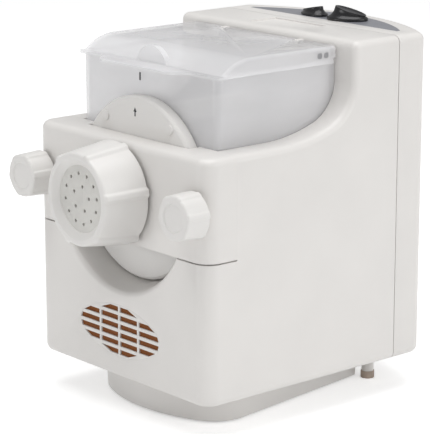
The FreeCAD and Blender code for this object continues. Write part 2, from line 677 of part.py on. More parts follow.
def main_housing():
    """The L-shaped shell: a low box round the bowl and a tower behind it."""
    body = new_body("main_housing")
    plan = outline(plan_sketch(body, S.underside), inset_plan(as_size(0.0), S.rear_seam))
    pad(body, plan, S.tower_top - S.underside)

    # The open space over the sill, which sweeps up into the tower's front.
    margin = 10.0
    sweep_end = S.ramp_start + S.ramp_radius * sine(S.ramp_angle)
    sweep_rise = S.sill_height + S.ramp_radius * (1.0 - cosine(S.ramp_angle))
    short_radius = (S.tower_face - sweep_end) / (1.0 - sine(S.ramp_angle))
    profile = outline(side_sketch(body), [
        (-margin, S.sill_height),
        (S.ramp_start, S.sill_height),
        (sweep_end, sweep_rise, S.ramp_radius),
        (S.tower_face, sweep_rise + short_radius * cosine(S.ramp_angle), short_radius),
        (S.tower_face, S.tower_top + margin),
        (-margin, S.tower_top + margin),
    ])
    pocket(body, profile, S.body_width + margin, both=True)

    def is_brow(edge):
        box = edge.BoundBox
        at_side = box.XLength < 0.01 and near(abs(box.XMin), HALF)
        on_sill = box.ZMin > S.sill_height.value - 0.01
        behind = near(box.YMin, S.rear_seam)
        at_top = flat_at(edge, S.tower_top) and not behind
        at_front = flat_at(edge, S.sill_height) and box.YMax < S.corner_round.value + 0.01
        return (at_side and on_sill and not behind) or at_top or at_front

    soften("Fillet", body, is_brow, S.edge_round)
    soften("Fillet", body, lambda edge: flat_at(edge, S.underside)
           and not near(edge.BoundBox.YMin, S.rear_seam), S.bottom_round)

    # The bay for the bowl, the bore for the disc and the cone in front of it.
    bay = outline(front_sketch(body, S.tower_face), bay_section(S.bay_gap, S.tower_top))
    pocket(body, bay, S.tower_face - S.bowl_front, flip=True)
    bore = S.disc_radius + S.disc_gap
    turn(body, [
        (-margin, 0.0),
        (-margin, S.scoop_radius),
        (0.0, S.scoop_radius),
        (S.disc_face, bore),
        (S.bowl_front + S.bay_gap, bore),
        (S.bowl_front + S.bay_gap, 0.0),
    ], height=S.axis_height, cut=True)

    # The room for the front cover, and the bulkhead behind it.
    inner = HALF - S.cover_wall - S.seam_gap
    outer = HALF + margin
    rim = S.cover_wrap + S.seam_gap
    room = outline(plan_sketch(body, S.seam_height), [
        (-outer, -margin), (outer, -margin), (outer, rim), (inner, rim),
        (inner, BULKHEAD), (-inner, BULKHEAD), (-inner, rim), (-outer, rim),
    ])
    pocket(body, room, S.tower_top - S.seam_height, flip=True)
    ledge = rectangle(plan_sketch(body, S.sill_height - S.cover_wall - S.seam_gap),
                      -outer, -margin, outer, rim)
    pocket(body, ledge, S.tower_top - S.sill_height, flip=True)

    # Hollows: round the bay, in the tower and in the low front, all open to the rear seam.
    inside = HALF - S.wall
    low = S.underside + S.floor_wall
    high = S.sill_height - S.wall
    section = bay_section(S.bay_gap + S.wall, high)
    ring = outline(front_sketch(body, S.rear_seam), [
        (-inside, low), (inside, low), (inside, high),
        *[(x, z, *[-r for r in radius]) for x, z, *radius in mirrored_bay(section)],
        (-inside, high),
    ])
    pocket(body, ring, S.rear_seam - S.bowl_front - S.floor_wall, flip=True)
    tower = rectangle(front_sketch(body, S.rear_seam), -inside, low, inside, S.tower_top - S.wall)
    pocket(body, tower, S.rear_seam - S.tower_face - S.wall, flip=True)
    nose = outline(plan_sketch(body, low), inset_plan(S.wall, S.bowl_front + S.floor_wall + S.wall))
    pocket(body, nose, S.axis_height - S.scoop_radius - S.wall - low, flip=True)

    # Openings: the vent, the drive shaft's bush and the clamp studs.
    vent = outline(front_sketch(body, S.wall + S.wall, height=S.vent_height), oval(as_size(0.0)))
    pocket(body, vent, S.wall * 3, flip=True)
    bush = circle(front_sketch(body, S.tower_face, height=S.axis_height), S.bush_radius)
    pocket(body, bush, S.wall * 2)
    studs = front_sketch(body, BULKHEAD, height=S.axis_height)
    circle(studs, S.stud_radius, S.knob_spread / 2, 0.0)
    circle(studs, S.stud_radius, -S.knob_spread / 2, 0.0)
    pocket(body, studs, rim - BULKHEAD)

    # The finger dish in the tower's top.
    dish = rectangle(plan_sketch(body, S.tower_top), -S.dish_length / 2, S.dish_front,
                     S.dish_length / 2, S.dish_front + S.dish_width)
    pocket(body, dish, S.dish_depth)

    # Hinge ears on the tower's front, with the bores of their pins.
    ear_high = S.hinge_height + S.hinge_pin * 2
    ear = outline(side_sketch(body, across=S.hinge_spread / 2), [
        (S.tower_face + S.wall / 2, S.ear_low),
        (S.tower_face + S.wall / 2, ear_high),
        (S.hinge_axis, ear_high),
        (S.hinge_axis - S.hinge_pin * 2, S.hinge_height, S.hinge_pin * 2),
        (S.hinge_axis - S.hinge_pin * 2, S.ear_low),
    ])
    ear_pad = pad(body, ear, S.ear_thick, both=True)
    mirror(body, [ear_pad])
    pins = circle(side_sketch(body), S.hinge_pin, S.hinge_axis, S.hinge_height)
    pocket(body, pins, S.hinge_spread + S.ear_thick * 2, both=True)
    plunger = circle(front_sketch(body, S.tower_face + S.wall * 2, height=S.plunger_height),
                     S.plunger_radius + S.running_fit * 5, S.plunger_side, 0.0)
    pocket(body, plunger, S.wall * 3, flip=True)

    # The boss that carries the front end of the idler's axle.
    boss_face = S.tower_face + S.wall + S.axle_boss_depth
    pad(body, circle(front_sketch(body, boss_face, height=IDLER_HEIGHT), S.axle_boss),
        S.axle_boss_depth + S.wall / 2)
    axle = circle(front_sketch(body, boss_face, height=IDLER_HEIGHT),
                  S.idler_axle + S.running_fit)
    pocket(body, axle, S.axle_boss_depth, flip=True)

    # Bosses that take the rear cover's screws.
    bosses = front_sketch(body, S.rear_seam)
    for x, z in screw_places():
        circle(bosses, S.boss_radius, x, z)
    pad(body, bosses, S.rear_seam - S.tower_face - S.wall)
    holes = front_sketch(body, S.rear_seam)
    for x, z in screw_places():
        circle(holes, S.screw_radius, x, z)
    pocket(body, holes, 22.0, flip=True)
    return place(body)


def mirrored_bay(section):
    """The bay's section walked the other way round, from its right top to its left top."""
    backwards = []
    arcs = [corner[2] if len(corner) == 3 else None for corner in section]
    for index in range(len(section) - 1, -1, -1):
        x, z = section[index][0], section[index][1]
        arc = arcs[index + 1] if index + 1 < len(section) else None
        backwards.append((x, z) if arc is None else (x, z, arc))
    return backwards


def front_cover():
    """The raised cover across the front, wrapped round both corners."""
    body = new_body("front_cover")
    low = S.seam_height + S.seam_gap
    pad(body, outline(plan_sketch(body, low), inset_plan(as_size(0.0), S.cover_wrap)),
        S.sill_height - low)
    soften("Fillet", body, lambda edge: flat_at(edge, S.sill_height)
           and not near(edge.BoundBox.YMin, S.cover_wrap), S.edge_round)
    inside = outline(plan_sketch(body, low), inset_plan(S.cover_wall, S.cover_wrap * 2))
    pocket(body, inside, S.sill_height - S.cover_wall - low, flip=True)
    half = S.disc_radius * 0.86
    notch = rectangle(plan_sketch(body, S.sill_height), -half, S.disc_face - S.seam_gap,
                      half, S.cover_wrap * 2)
    pocket(body, notch, S.cover_wall * 2)
    holes = front_sketch(body, S.cover_wall * 2, height=S.axis_height)
    circle(holes, S.nozzle_radius + S.loose_gap)
    circle(holes, S.stud_radius + S.loose_gap, S.knob_spread / 2, 0.0)
    circle(holes, S.stud_radius + S.loose_gap, -S.knob_spread / 2, 0.0)
    pocket(body, holes, S.cover_wall * 3, flip=True)
    return place(body)


def back_line(half, inset):
    """Where the bowed back is at a distance from the middle, drawn in by an inset."""
    radius = S.back_arc - inset
    return S.back_reach - S.back_arc + root(radius * radius - half * half)


def rear_cover():
    """The bowed shell that closes the tower from behind, with the control recess on top."""
    body = new_body("rear_cover")
    corner = back_line(HALF, as_size(0.0))
    pad(body, outline(plan_sketch(body, S.underside), [
        (-HALF, S.rear_seam), (HALF, S.rear_seam), (HALF, corner), (-HALF, corner, S.back_arc),
    ]), S.tower_top - S.underside)
    soften("Fillet", body, lambda edge: upright_at(edge, HALF, corner), S.back_corner)
    soften("Fillet", body, lambda edge: flat_at(edge, S.underside)
           and not near(edge.BoundBox.YMax, S.rear_seam), S.bottom_round)
    soften("Fillet", body, lambda edge: flat_at(edge, S.tower_top)
           and not near(edge.BoundBox.YMax, S.rear_seam), S.edge_round)
    low = S.underside + S.floor_wall
    inside = HALF - S.wall
    turned = back_line(inside, S.wall) - S.wall
    high = S.tower_top - S.wall - S.panel_thick
    pocket(body, outline(plan_sketch(body, low), [
        (-inside, S.rear_seam - S.wall), (inside, S.rear_seam - S.wall), (inside, turned),
        (-inside, turned, S.back_arc),
    ]), high - low, flip=True)

    # Posts and holes for the four screws, trimmed to the bowed back.
    posts = front_sketch(body, S.rear_seam)
    for x, z in screw_places():
        circle(posts, S.boss_radius, x, z)
    pad(body, posts, S.back_reach - S.rear_seam, flip=True)
    pocket(body, outline(plan_sketch(body, S.underside), [
        (-HALF, S.back_reach * 2), (-HALF, corner), (HALF, corner, -S.back_arc),
        (HALF, S.back_reach * 2),
    ]), S.tower_top, flip=True)
    shanks = front_sketch(body, S.rear_seam)
    heads = front_sketch(body, S.screw_seat)
    for x, z in screw_places():
        circle(shanks, S.screw_radius + S.running_fit, x, z)
        circle(heads, S.screw_head + S.loose_gap, x, z)
    pocket(body, shanks, S.screw_seat - S.rear_seam)
    pocket(body, heads, S.back_reach - S.screw_seat)

    # The recess of the control panel, with the holes of the two spindles.
    pocket(body, outline(plan_sketch(body, S.tower_top), panel_plan(S.running_fit)),
           S.panel_thick)
    holes = plan_sketch(body, S.tower_top - S.panel_thick)
    circle(holes, S.spindle_radius + S.loose_gap, S.dial_spread / 2, S.dial_row)
    circle(holes, S.spindle_radius + S.loose_gap, -S.dial_spread / 2, S.dial_row)
    pocket(body, holes, S.wall)

    # Louvres and the cord gland's seat, low on the back.
    slots = front_sketch(body, S.back_reach - S.wall * 3)
    for row in range(int(S.louvre_count.value)):
        z = S.louvre_low + S.louvre_pitch * row
        rectangle(slots, -S.louvre_width / 2, z, S.louvre_width / 2, z + S.louvre_height)
    pocket(body, slots, S.wall * 4)
    seat = S.back_reach - S.gland_depth
    boss = circle(front_sketch(body, S.back_reach - S.wall, height=S.gland_height),
                  S.gland_flange + S.wall)
    pad(body, boss, S.gland_depth - S.wall)
    turn(body, [
        (seat, 0.0), (seat, S.gland_neck), (S.back_reach - S.gland_rim, S.gland_neck),
        (S.back_reach - S.gland_rim, S.gland_flange), (S.back_reach + S.wall, S.gland_flange),
        (S.back_reach + S.wall, 0.0),
    ], height=S.gland_height, cut=True)
    return place(body)


def panel_plan(gap):
    """The control panel's outline with a gap round it."""
    half = S.panel_width / 2 + gap
    tip = S.panel_back - S.panel_arc + root(S.panel_arc * S.panel_arc - half * half) + gap
    return [
        (-half, S.panel_front - gap), (half, S.panel_front - gap), (half, tip),
        (-half, tip, S.panel_arc),
    ]


def control_panel():
    """The dark segment under the two control knobs."""
    body = new_body("control_panel")
    pad(body, outline(plan_sketch(body, S.tower_top - S.panel_thick), panel_plan(as_size(0.0))),
        S.panel_thick)
    holes = plan_sketch(body, S.tower_top)
    circle(holes, S.spindle_radius + S.loose_gap, S.dial_spread / 2, S.dial_row)
    circle(holes, S.spindle_radius + S.loose_gap, -S.dial_spread / 2, S.dial_row)
    pocket(body, holes, S.panel_thick)
    return place(body)


def four_arcs(wide, tall, end):
    """An oval of four arcs about the origin, from half its width, half its height and its ends."""
    reach = wide - end
    crown = (reach * reach + tall * tall - end * end) / ((tall - end) * 2)
    x = reach + reach * end / (crown - end)
    z = (crown - tall) * end / (crown - end)
    return [(-x, -z, end), (x, -z, crown), (x, z, end), (-x, z, crown)]


def dial(label, length, width, rise, side, angle):
    """A pointer knob: an oval skirt under a body whose top slopes down to its pointing end."""
    body = new_body(label)
    end = width * 0.36
    pad(body, outline(plan_sketch(body), four_arcs(length / 2, width / 2, end)), S.skirt_rise)
    margin = S.dial_top / 2
    upper = outline(plan_sketch(body, S.skirt_rise),
                    four_arcs(length / 2 - margin, width / 2 - margin, end - margin))
    pad(body, upper, rise - S.skirt_rise)
    slope = outline(side_sketch_along(body), [
        (-length / 2, rise), (length / 2, S.toe_rise), (length, S.toe_rise), (length, rise * 2),
        (-length / 2, rise * 2),
    ])
    pocket(body, slope, width * 2, both=True)
    soften("Fillet", body, lambda edge: edge.BoundBox.ZMax > S.toe_rise.value - 0.05
           and edge.BoundBox.ZLength > 0.01
           and not (edge.BoundBox.XLength < 0.01 and edge.BoundBox.YLength < 0.01),
           S.dial_top / 2)
    hole = circle(plan_sketch(body), S.spindle_radius)
    pocket(body, hole, S.spindle_head, flip=True)
    return place(body, across=side, along=S.dial_row, up=S.tower_top + S.seam_gap / 2,
                 angle=angle)


def side_sketch_along(body):
    """A sketch on the plane through X and Z at the body's own origin."""
    return new_sketch(body, "XZ_Plane")


def mode_knob():
    """The control knob on the right."""
    return dial("mode_knob", S.mode_length, S.mode_width, S.mode_rise, S.dial_spread / 2,
                S.mode_turn)


def power_knob():
    """The control knob on the left."""
    return dial("power_knob", S.power_length, S.power_width, S.power_rise, -S.dial_spread / 2,
                S.power_turn)


def rod(label, radius, low, high, x, y):
    """An upright rod."""
    body = new_body(label)
    pad(body, circle(plan_sketch(body, low), radius, x, y), high - low)
    return place(body)


def mode_spindle():
    """The spindle under the mode knob."""
    return rod("mode_spindle", S.spindle_radius, S.tower_top - S.spindle_foot,
               S.tower_top + S.spindle_head, S.dial_spread / 2, S.dial_row)


def power_spindle():
    """The spindle under the power knob."""
    return rod("power_spindle", S.spindle_radius, S.tower_top - S.spindle_foot,
               S.tower_top + S.spindle_head, -S.dial_spread / 2, S.dial_row)


def rotary_switch(label, x):
    """A rotary switch: a round case under the cover's top, with a bore for its spindle."""
    body = new_body(label)
    high = S.tower_top - S.wall - S.panel_thick
    case = plan_sketch(body, high - S.switch_depth)
    circle(case, S.switch_radius, x, S.dial_row)
    circle(case, S.spindle_radius + S.running_fit, x, S.dial_row)
    pad(body, case, S.switch_depth)
    return place(body)


def mode_switch():
    """The rotary switch under the mode knob."""
    return rotary_switch("mode_switch", S.dial_spread / 2)


def power_switch():
    """The rotary switch under the power knob."""
    return rotary_switch("power_switch", -S.dial_spread / 2)


def vent_grille():
    """The oval insert with six rows of slots, and its flange behind the front wall."""
    body = new_body("vent_grille")
    pad(body, outline(front_sketch(body, S.wall, height=S.vent_height), oval(-S.running_fit)),
        S.wall)
    pad(body, outline(front_sketch(body, S.wall + S.flange_thick, height=S.vent_height),
                      oval(S.flange_width)), S.flange_thick)
    field = front_sketch(body, S.slat_depth, height=S.vent_height)
    pocket(body, outline(field, oval(-S.vent_rim)), S.wall * 2)
    slots = front_sketch(body, S.slat_depth, height=S.vent_height)
    rows = 6
    for row in range(rows):
        middle = S.slat_pitch * (row - (rows - 1) / 2)
        low = middle - (S.slat_pitch - S.slat_width) / 2
        high = middle + (S.slat_pitch - S.slat_width) / 2
        near_bar = S.mullion_width / 2
        far_bar = S.mullion_pitch - S.mullion_width / 2
        outer = S.mullion_pitch + S.mullion_width / 2
        for side in (1.0, -1.0):
            slot(slots, side, (near_bar, low), (shorter(far_bar, vent_chord(low)), low),
                 (shorter(far_bar, vent_chord(high)), high), (near_bar, high))
            if shorter(vent_chord(low), vent_chord(high)).value > outer.value:
                slot(slots, side, (outer, low), (vent_chord(low), low),
                     (vent_chord(high), high), (outer, high))
    pocket(body, slots, S.slat_depth, flip=True)
    return place(body)


def shorter(one, other):
    """The smaller of two sizes."""
    return one if one.value < other.value else other


def slot(sketch, side, *corners):
    """A four-cornered slot on one side of the middle."""
    placed = [(x * side, z) for x, z in corners]
    return outline(sketch, placed if side > 0 else placed[::-1])


def vent_screen():
    """The dust screen that lies behind the grille."""
    body = new_body("vent_screen")
    depth = S.slat_depth + S.screen_thick
    pad(body, outline(front_sketch(body, depth, height=S.vent_height),
                      oval(-S.vent_rim - S.running_fit)), S.screen_thick)
    return place(body)


def base_plinth():
    """The foot under the housing, tapered in plan towards the back and flared upwards."""
    body = new_body("base_plinth")
    bow = S.plinth_front + S.plinth_bow - root(
        S.plinth_bow * S.plinth_bow - S.plinth_bow_half * S.plinth_bow_half)
    pad(body, outline(plan_sketch(body, S.foot_rise), [
        (-S.plinth_tail, S.plinth_back), (-S.plinth_wide, S.plinth_wide_at),
        (-S.plinth_bow_half, bow, S.plinth_cheek), (S.plinth_bow_half, bow, S.plinth_bow),
        (S.plinth_wide, S.plinth_wide_at, S.plinth_cheek), (S.plinth_tail, S.plinth_back),
    ]), S.underside - S.foot_rise, taper=S.plinth_flare)
    return place(body)


def pair(label, radius, low, high, spread, row):
    """Two upright round pieces on both sides of the middle."""
    body = new_body(label)
    sketch = plan_sketch(body, low)
    circle(sketch, radius, spread / 2, row)
    circle(sketch, radius, -spread / 2, row)
    pad(body, sketch, high - low)
    return body


def front_feet():
    """The two rubber pads under the plinth's front."""
    return place(pair("front_feet", S.foot_radius, as_size(0.0), S.foot_rise, S.foot_spread,
                      S.foot_row))


def rear_legs():
    """The two legs under the rear cover."""
    return place(pair("rear_legs", S.leg_radius, S.leg_cap / 2, S.underside, S.leg_spread,
                      S.leg_row))


def leg_caps():
    """The rubber caps on the two legs."""
    body = pair("leg_caps", S.leg_radius + S.cap_margin, as_size(0.0), S.leg_cap, S.leg_spread,
                S.leg_row)
    sockets = plan_sketch(body, S.leg_cap)
    circle(sockets, S.leg_radius, S.leg_spread / 2, S.leg_row)
    circle(sockets, S.leg_radius, -S.leg_spread / 2, S.leg_row)
    pocket(body, sockets, S.leg_cap / 2)
    return place(body)


def cover_screws():
    """The four screws of the rear cover."""
    body = new_body("cover_screws")
    heads = front_sketch(body, S.screw_seat + S.screw_head / 2)
    shanks = front_sketch(body, S.screw_seat + S.screw_head / 4)
    for x, z in screw_places():
        circle(heads, S.screw_head, x, z)
        circle(shanks, S.screw_radius, x, z)
    pad(body, heads, S.screw_head / 2)
    pad(body, shanks, S.screw_seat - S.rear_seam + S.screw_head * 4)
    return place(body)


def cord_gland():
    """The rubber gland of the cord, in the back of the rear cover."""
    body = new_body("cord_gland")
    seat = S.back_reach - S.gland_depth
    turn(body, [
        (seat, S.gland_bore), (S.back_reach, S.gland_bore), (S.back_reach, S.gland_flange),
        (S.back_reach - S.gland_rim, S.gland_flange), (S.back_reach - S.gland_rim, S.gland_neck),
        (seat, S.gland_neck),
    ], height=S.gland_height)
    return place(body)


def mixing_bowl():
    """The clear bowl: a trough that widens upwards, with a round hole to the nozzle."""
    body = new_body("mixing_bowl")
    pad(body, outline(front_sketch(body, S.bowl_back), bay_section(as_size(0.0), S.bowl_rim)),
        S.bowl_back - S.bowl_front)
    soften("Fillet", body, lambda edge: upright_at(edge, S.bowl_width / 2, S.bowl_front),
           S.bowl_round)
    pocket(body, outline(front_sketch(body, S.bowl_back - S.bowl_wall),
                         bay_section(-S.bowl_wall, S.bowl_rim)),
           S.bowl_back - S.bowl_front - S.bowl_wall * 2, flip=True)
    soften("Fillet", body, lambda edge: upright_at(
        edge, S.bowl_width / 2 - S.bowl_wall, S.bowl_front + S.bowl_wall)
        and edge.BoundBox.YMax < S.bowl_back.value / 2, S.bowl_round - S.bowl_wall)
    pocket(body, rectangle(front_sketch(body, S.bowl_step), -S.bowl_width,
                           S.bowl_front_rim, S.bowl_width, S.bowl_rim * 2),
           S.bowl_step, flip=True)
    pocket(body, rectangle(front_sketch(body, S.bowl_back - S.bowl_wall), -S.bowl_rear_half,
                           S.bowl_rear_rim, S.bowl_rear_half, S.bowl_rim * 2), S.bowl_wall * 2)
    mouth = circle(front_sketch(body, S.bowl_front + S.bowl_wall, height=S.axis_height),
                   S.bowl_hole)
    pocket(body, mouth, S.bowl_wall * 2, flip=True)
    rear = circle(front_sketch(body, S.bowl_back - S.bowl_wall, height=S.axis_height),
                  S.shaft_radius + S.bowl_wall)
    pocket(body, rear, S.bowl_wall * 2)
    return place(body)


def lip_plan(back):
    """The lid's lip in plan: it runs out to the pull tab in the middle."""
    half = S.lid_width / 2
    tab = S.tab_width / 2
    drop = (S.lip_front - S.tab_reach) / 2
    run = (S.lip_half - tab)
    sweep = (run * run + drop * drop) / (drop * 2)
    middle = S.tab_reach + drop
    inner = tab - run
    return [
        (-half, back), (-half, S.bowl_front), (-half + S.lid_round, S.lip_front, S.lid_round * 2),
        (-S.lip_half, S.lip_front), (-tab, middle, -sweep), (-inner, S.tab_reach, sweep),
        (inner, S.tab_reach), (tab, middle, sweep), (S.lip_half, S.lip_front, -sweep),
        (half - S.lid_round, S.lip_front), (half, S.bowl_front, S.lid_round * 2), (half, back),
    ]


def bowl_lid():
    """The clear lid: a flat top, a curved front, a lip with a pull tab, and a half-round grip."""
    body = new_body("bowl_lid")
    radius = S.lid_brow
    foot = S.lid_flat - root(radius * radius
                             - (S.lid_edge - S.brow_height) * (S.lid_edge - S.brow_height))
    pad(body, outline(side_sketch(body), [
        (S.lid_back, S.lid_edge), (S.lid_back, S.lid_top), (S.lid_flat, S.lid_top),
        (foot, S.lid_edge, radius),
    ]), S.lid_width, both=True)

    def is_long_edge(edge):
        box = edge.BoundBox
        return (box.XLength < 0.01 and near(abs(box.XMin), S.lid_width / 2)
                and box.ZMax > S.lid_edge.value + 1.0 and not near(box.YMin, S.lid_back))

    soften("Fillet", body, is_long_edge, S.lid_round)
    inner = radius - S.lid_wall
    sill = S.bowl_rim + S.seam_gap / 2
    start = S.lid_flat - root(inner * inner - (sill - S.brow_height) * (sill - S.brow_height))
    wide = S.lid_width - S.lid_wall * 2
    back = S.lid_back - S.lid_wall
    under = S.lid_flat - root(inner * inner - (S.lid_edge - S.brow_height)
                              * (S.lid_edge - S.brow_height))
    pocket(body, rectangle(side_sketch(body), under, S.lid_edge - 1.0, back, sill), wide,
           both=True)
    pocket(body, outline(side_sketch(body), [
        (back, sill), (back, S.lid_top - S.lid_wall), (S.lid_flat, S.lid_top - S.lid_wall),
        (start, sill, inner),
    ]), wide - S.lid_step * 2, both=True)

    # The back wall is short, so that it clears the bowl while the lid turns.
    pocket(body, rectangle(front_sketch(body, back), -S.lid_width, S.lid_edge - 1.0,
                           S.lid_width, S.hatch_rim), S.lid_wall * 2)
    pad(body, outline(plan_sketch(body, S.lid_edge), lip_plan(under + S.lid_wall)), S.lid_wall)
    grip = circle(front_sketch(body, S.grip_back, height=S.grip_centre), S.grip_radius)
    pad(body, grip, S.grip_thick)
    pocket(body, rectangle(plan_sketch(body, S.lid_edge), -S.grip_radius * 2, 0.0,
                           S.grip_radius * 2, S.grip_back * 2), S.grip_radius * 2)
    clear = outline(side_sketch(body), [
        (S.grip_back * 2, sill), (S.grip_back * 2, S.lid_top - S.lid_wall),
        (S.lid_flat, S.lid_top - S.lid_wall), (start, sill, inner),
    ])
    pocket(body, clear, S.grip_radius * 2, both=True)

    # Room for the hinge ears, the knuckles beside them, and the tab for the lid switch.
    reach = S.hinge_pin * 2 + S.loose_gap
    knuckle = S.hinge_spread / 2 + (S.ear_thick + S.knuckle_thick) / 2 + S.loose_gap
    for side in (1.0, -1.0):
        middle = S.hinge_spread / 2 * side
        pocket(body, rectangle(plan_sketch(body, S.lid_top), middle - S.ear_thick / 2 - S.loose_gap,
                               S.hinge_axis - reach, middle + S.ear_thick / 2 + S.loose_gap,
                               S.lid_back + 1.0), S.lid_top - S.lid_edge)
        pad(body, circle(side_sketch(body, across=knuckle * side), S.hinge_pin * 2,
                         S.hinge_axis, S.hinge_height), S.knuckle_thick, both=True)
    pins = circle(side_sketch(body), S.hinge_pin + S.running_fit, S.hinge_axis, S.hinge_height)
    pocket(body, pins, (knuckle + S.knuckle_thick) * 2, both=True)
    trip = rectangle(front_sketch(body, S.lid_back), S.plunger_side - S.trip_width / 2, S.lid_edge,
                     S.plunger_side + S.trip_width / 2, S.hatch_rim + S.lid_wall)
    pad(body, trip, S.lid_wall)
    return place(body)


def lid_hinge_pins():
    """The two pins of the lid."""
    body = new_body("lid_hinge_pins")
    inner = (S.hinge_spread - S.ear_thick) / 2
    outer = (S.hinge_spread + S.ear_thick) / 2 + S.knuckle_thick
    low = circle(side_sketch(body, across=inner), S.hinge_pin, S.hinge_axis, S.hinge_height)
    mirror(body, [pad(body, low, outer - inner)])
    return place(body)


def chamber_disc():
    """The round plate at the end of the bowl, with the threaded nozzle and a seal groove."""
    body = new_body("chamber_disc")
    turn(body, [
        (DISC_BACK, S.nozzle_bore), (DISC_BACK, S.disc_radius),
        (S.disc_face + S.disc_chamfer, S.disc_radius),
        (S.disc_face, S.disc_radius - S.disc_chamfer), (S.disc_face, S.nozzle_radius),
        (NOZZLE_FRONT, S.nozzle_radius), (NOZZLE_FRONT, S.nozzle_bore),
    ], height=S.axis_height)
    groove = DISC_BACK - S.seal_depth
    outer = S.seal_inner + S.seal_width
    turn(body, [
        (groove, S.seal_inner), (DISC_BACK + 1.0, S.seal_inner), (DISC_BACK + 1.0, outer),
        (groove, outer),
    ], height=S.axis_height, cut=True)
    lugs = front_sketch(body, S.disc_face, height=S.axis_height)
    reach = S.disc_radius - S.disc_chamfer * 1.5 - S.lug_radius
    for side in (1.0, -1.0):
        circle(lugs, S.lug_radius, reach * cosine(S.lug_angle) * side, reach * sine(S.lug_angle))
    pad(body, lugs, S.lug_rise)
    return place(body)


def disc_seal():
    """The seal ring between the disc and the bowl."""
    body = new_body("disc_seal")
    front = DISC_BACK - S.seal_depth
    turn(body, [
        (front, S.seal_inner), (front + S.seal_thick, S.seal_inner),
        (front + S.seal_thick, S.seal_inner + S.seal_width), (front, S.seal_inner + S.seal_width),
    ], height=S.axis_height)
    return place(body)


def hole_ring(body, radius, count, start):
    """A ring of round holes through the die."""
    sketch = front_sketch(body, NOZZLE_FRONT, height=S.axis_height)
    circle(sketch, S.die_hole, radius * cosine(start), radius * sine(start))
    hole = pocket(body, sketch, S.die_thick, flip=True)
    return around(body, hole, sketch, count)


def extrusion_die():
    """The die: a thick round plate with two rings of holes."""
    body = new_body("extrusion_die")
    face = circle(front_sketch(body, NOZZLE_FRONT, height=S.axis_height), S.die_radius)
    pad(body, face, S.die_thick)
    hole_ring(body, S.die_ring, S.die_ring_count, S.die_turn)
    hole_ring(body, S.die_inner_ring, S.die_inner_count, S.die_inner_turn)
    return place(body)


def ribs(body, sketch, reach, width, length, start):
    """Six ribs round an axis, drawn straight and from the middle of the axis outwards."""
    across, along = cosine(start), sine(start)
    half = width / 2
    inner = reach * 0.8
    rib = outline(sketch, [
        (inner * across + half * along, inner * along - half * across),
        (reach * across + half * along, reach * along - half * across),
        (reach * across - half * along, reach * along + half * across, width),
        (inner * across - half * along, inner * along + half * across),
    ])
    return around(body, pad(body, rib, length), sketch, S.rib_count)


def die_nut():
    """The nut that holds the die: a tapered ring with six grip ribs and a stepped bore."""
    body = new_body("die_nut")
    back = -S.nut_gap
    turn(body, [
        (back, S.nut_front * 0.9), (back, S.nut_back),
        (-S.nut_reach + S.nut_round, S.nut_front),
        (-S.nut_reach, S.nut_front - S.nut_round, S.nut_round),
        (-S.nut_reach, S.nut_front * 0.9),
    ], height=S.axis_height)
    tips = S.nut_back + S.rib_rise
    ribs(body, front_sketch(body, back, height=S.axis_height), tips, S.rib_width,
         S.nut_reach - S.nut_gap - S.nut_round * 0.7, S.rib_turn)
    over = -S.nut_reach - 1.0
    turn(body, [
        (over, S.rib_front), (back, tips), (back + 1.0, tips), (back + 1.0, tips * 2),
        (over, tips * 2),
    ], height=S.axis_height, cut=True)
    fill = front_sketch(body, back, height=S.axis_height)
    circle(fill, S.nut_front * 0.95)
    circle(fill, S.nozzle_radius + S.thread_play)
    pad(body, fill, S.nut_reach - S.nut_gap)
    lip = front_sketch(body, -S.nut_reach + S.nut_lip, height=S.axis_height)
    circle(lip, S.nut_front * 0.95)
    circle(lip, S.nut_opening)
    pad(body, lip, S.nut_lip)
    land = -S.nut_reach + S.nut_lip - S.nut_land
    turn(body, [
        (-S.nut_reach - 1.0, 0.0), (-S.nut_reach - 1.0, S.nut_mouth + S.nut_land),
        (-S.nut_reach, S.nut_mouth + S.nut_land),
        (-S.nut_reach + S.nut_land, S.nut_mouth, -S.nut_land), (land, S.nut_opening),
        (land, 0.0),
    ], height=S.axis_height, cut=True)
    return place(body)


def thumb_knob(label, side):
    """A thumb knob: a slightly tapered round head with a dimple, ribs and a blind hole."""
    body = new_body(label)
    across = S.knob_spread / 2 * side
    back = -S.nut_gap
    face = -S.knob_reach
    turn(body, [
        (back, 0.0), (back, S.knob_back), (face + S.knob_round, S.knob_front),
        (face, S.knob_front - S.knob_round, S.knob_round), (face, S.knob_dimple),
        (face + S.dimple_depth, S.knob_dimple - S.dimple_depth), (face + S.dimple_depth, 0.0),
    ], height=S.axis_height, across=across)
    tips = S.knob_back + S.knob_rib_rise
    ribs(body, front_sketch(body, back, across=across, height=S.axis_height), tips,
         S.knob_rib_width, S.knob_reach - S.nut_gap - S.knob_round * 0.6, S.rib_turn)
    over = face - 1.0
    turn(body, [
        (over, S.knob_front + S.knob_rib_rise / 2), (back, tips), (back + 1.0, tips),
        (back + 1.0, tips * 2), (over, tips * 2),
    ], height=S.axis_height, across=across, cut=True)
    bore = circle(front_sketch(body, back, across=across, height=S.axis_height),
                  S.stud_radius + S.running_fit)
    pocket(body, bore, S.stud_reach - S.nut_gap + S.loose_gap, flip=True)
    return place(body)


def left_thumb_knob():
    """The thumb knob on the left."""
    return thumb_knob("left_thumb_knob", -1.0)


def right_thumb_knob():
    """The thumb knob on the right."""
    return thumb_knob("right_thumb_knob", 1.0)


def clamp_studs():
    """The two studs that the thumb knobs turn on."""
    body = new_body("clamp_studs")
    end = S.cover_wrap
    sketch = front_sketch(body, end, height=S.axis_height)
    circle(sketch, S.stud_radius, S.knob_spread / 2, 0.0)
    circle(sketch, S.stud_radius, -S.knob_spread / 2, 0.0)
    pad(body, sketch, end + S.stud_reach)
    return place(body)


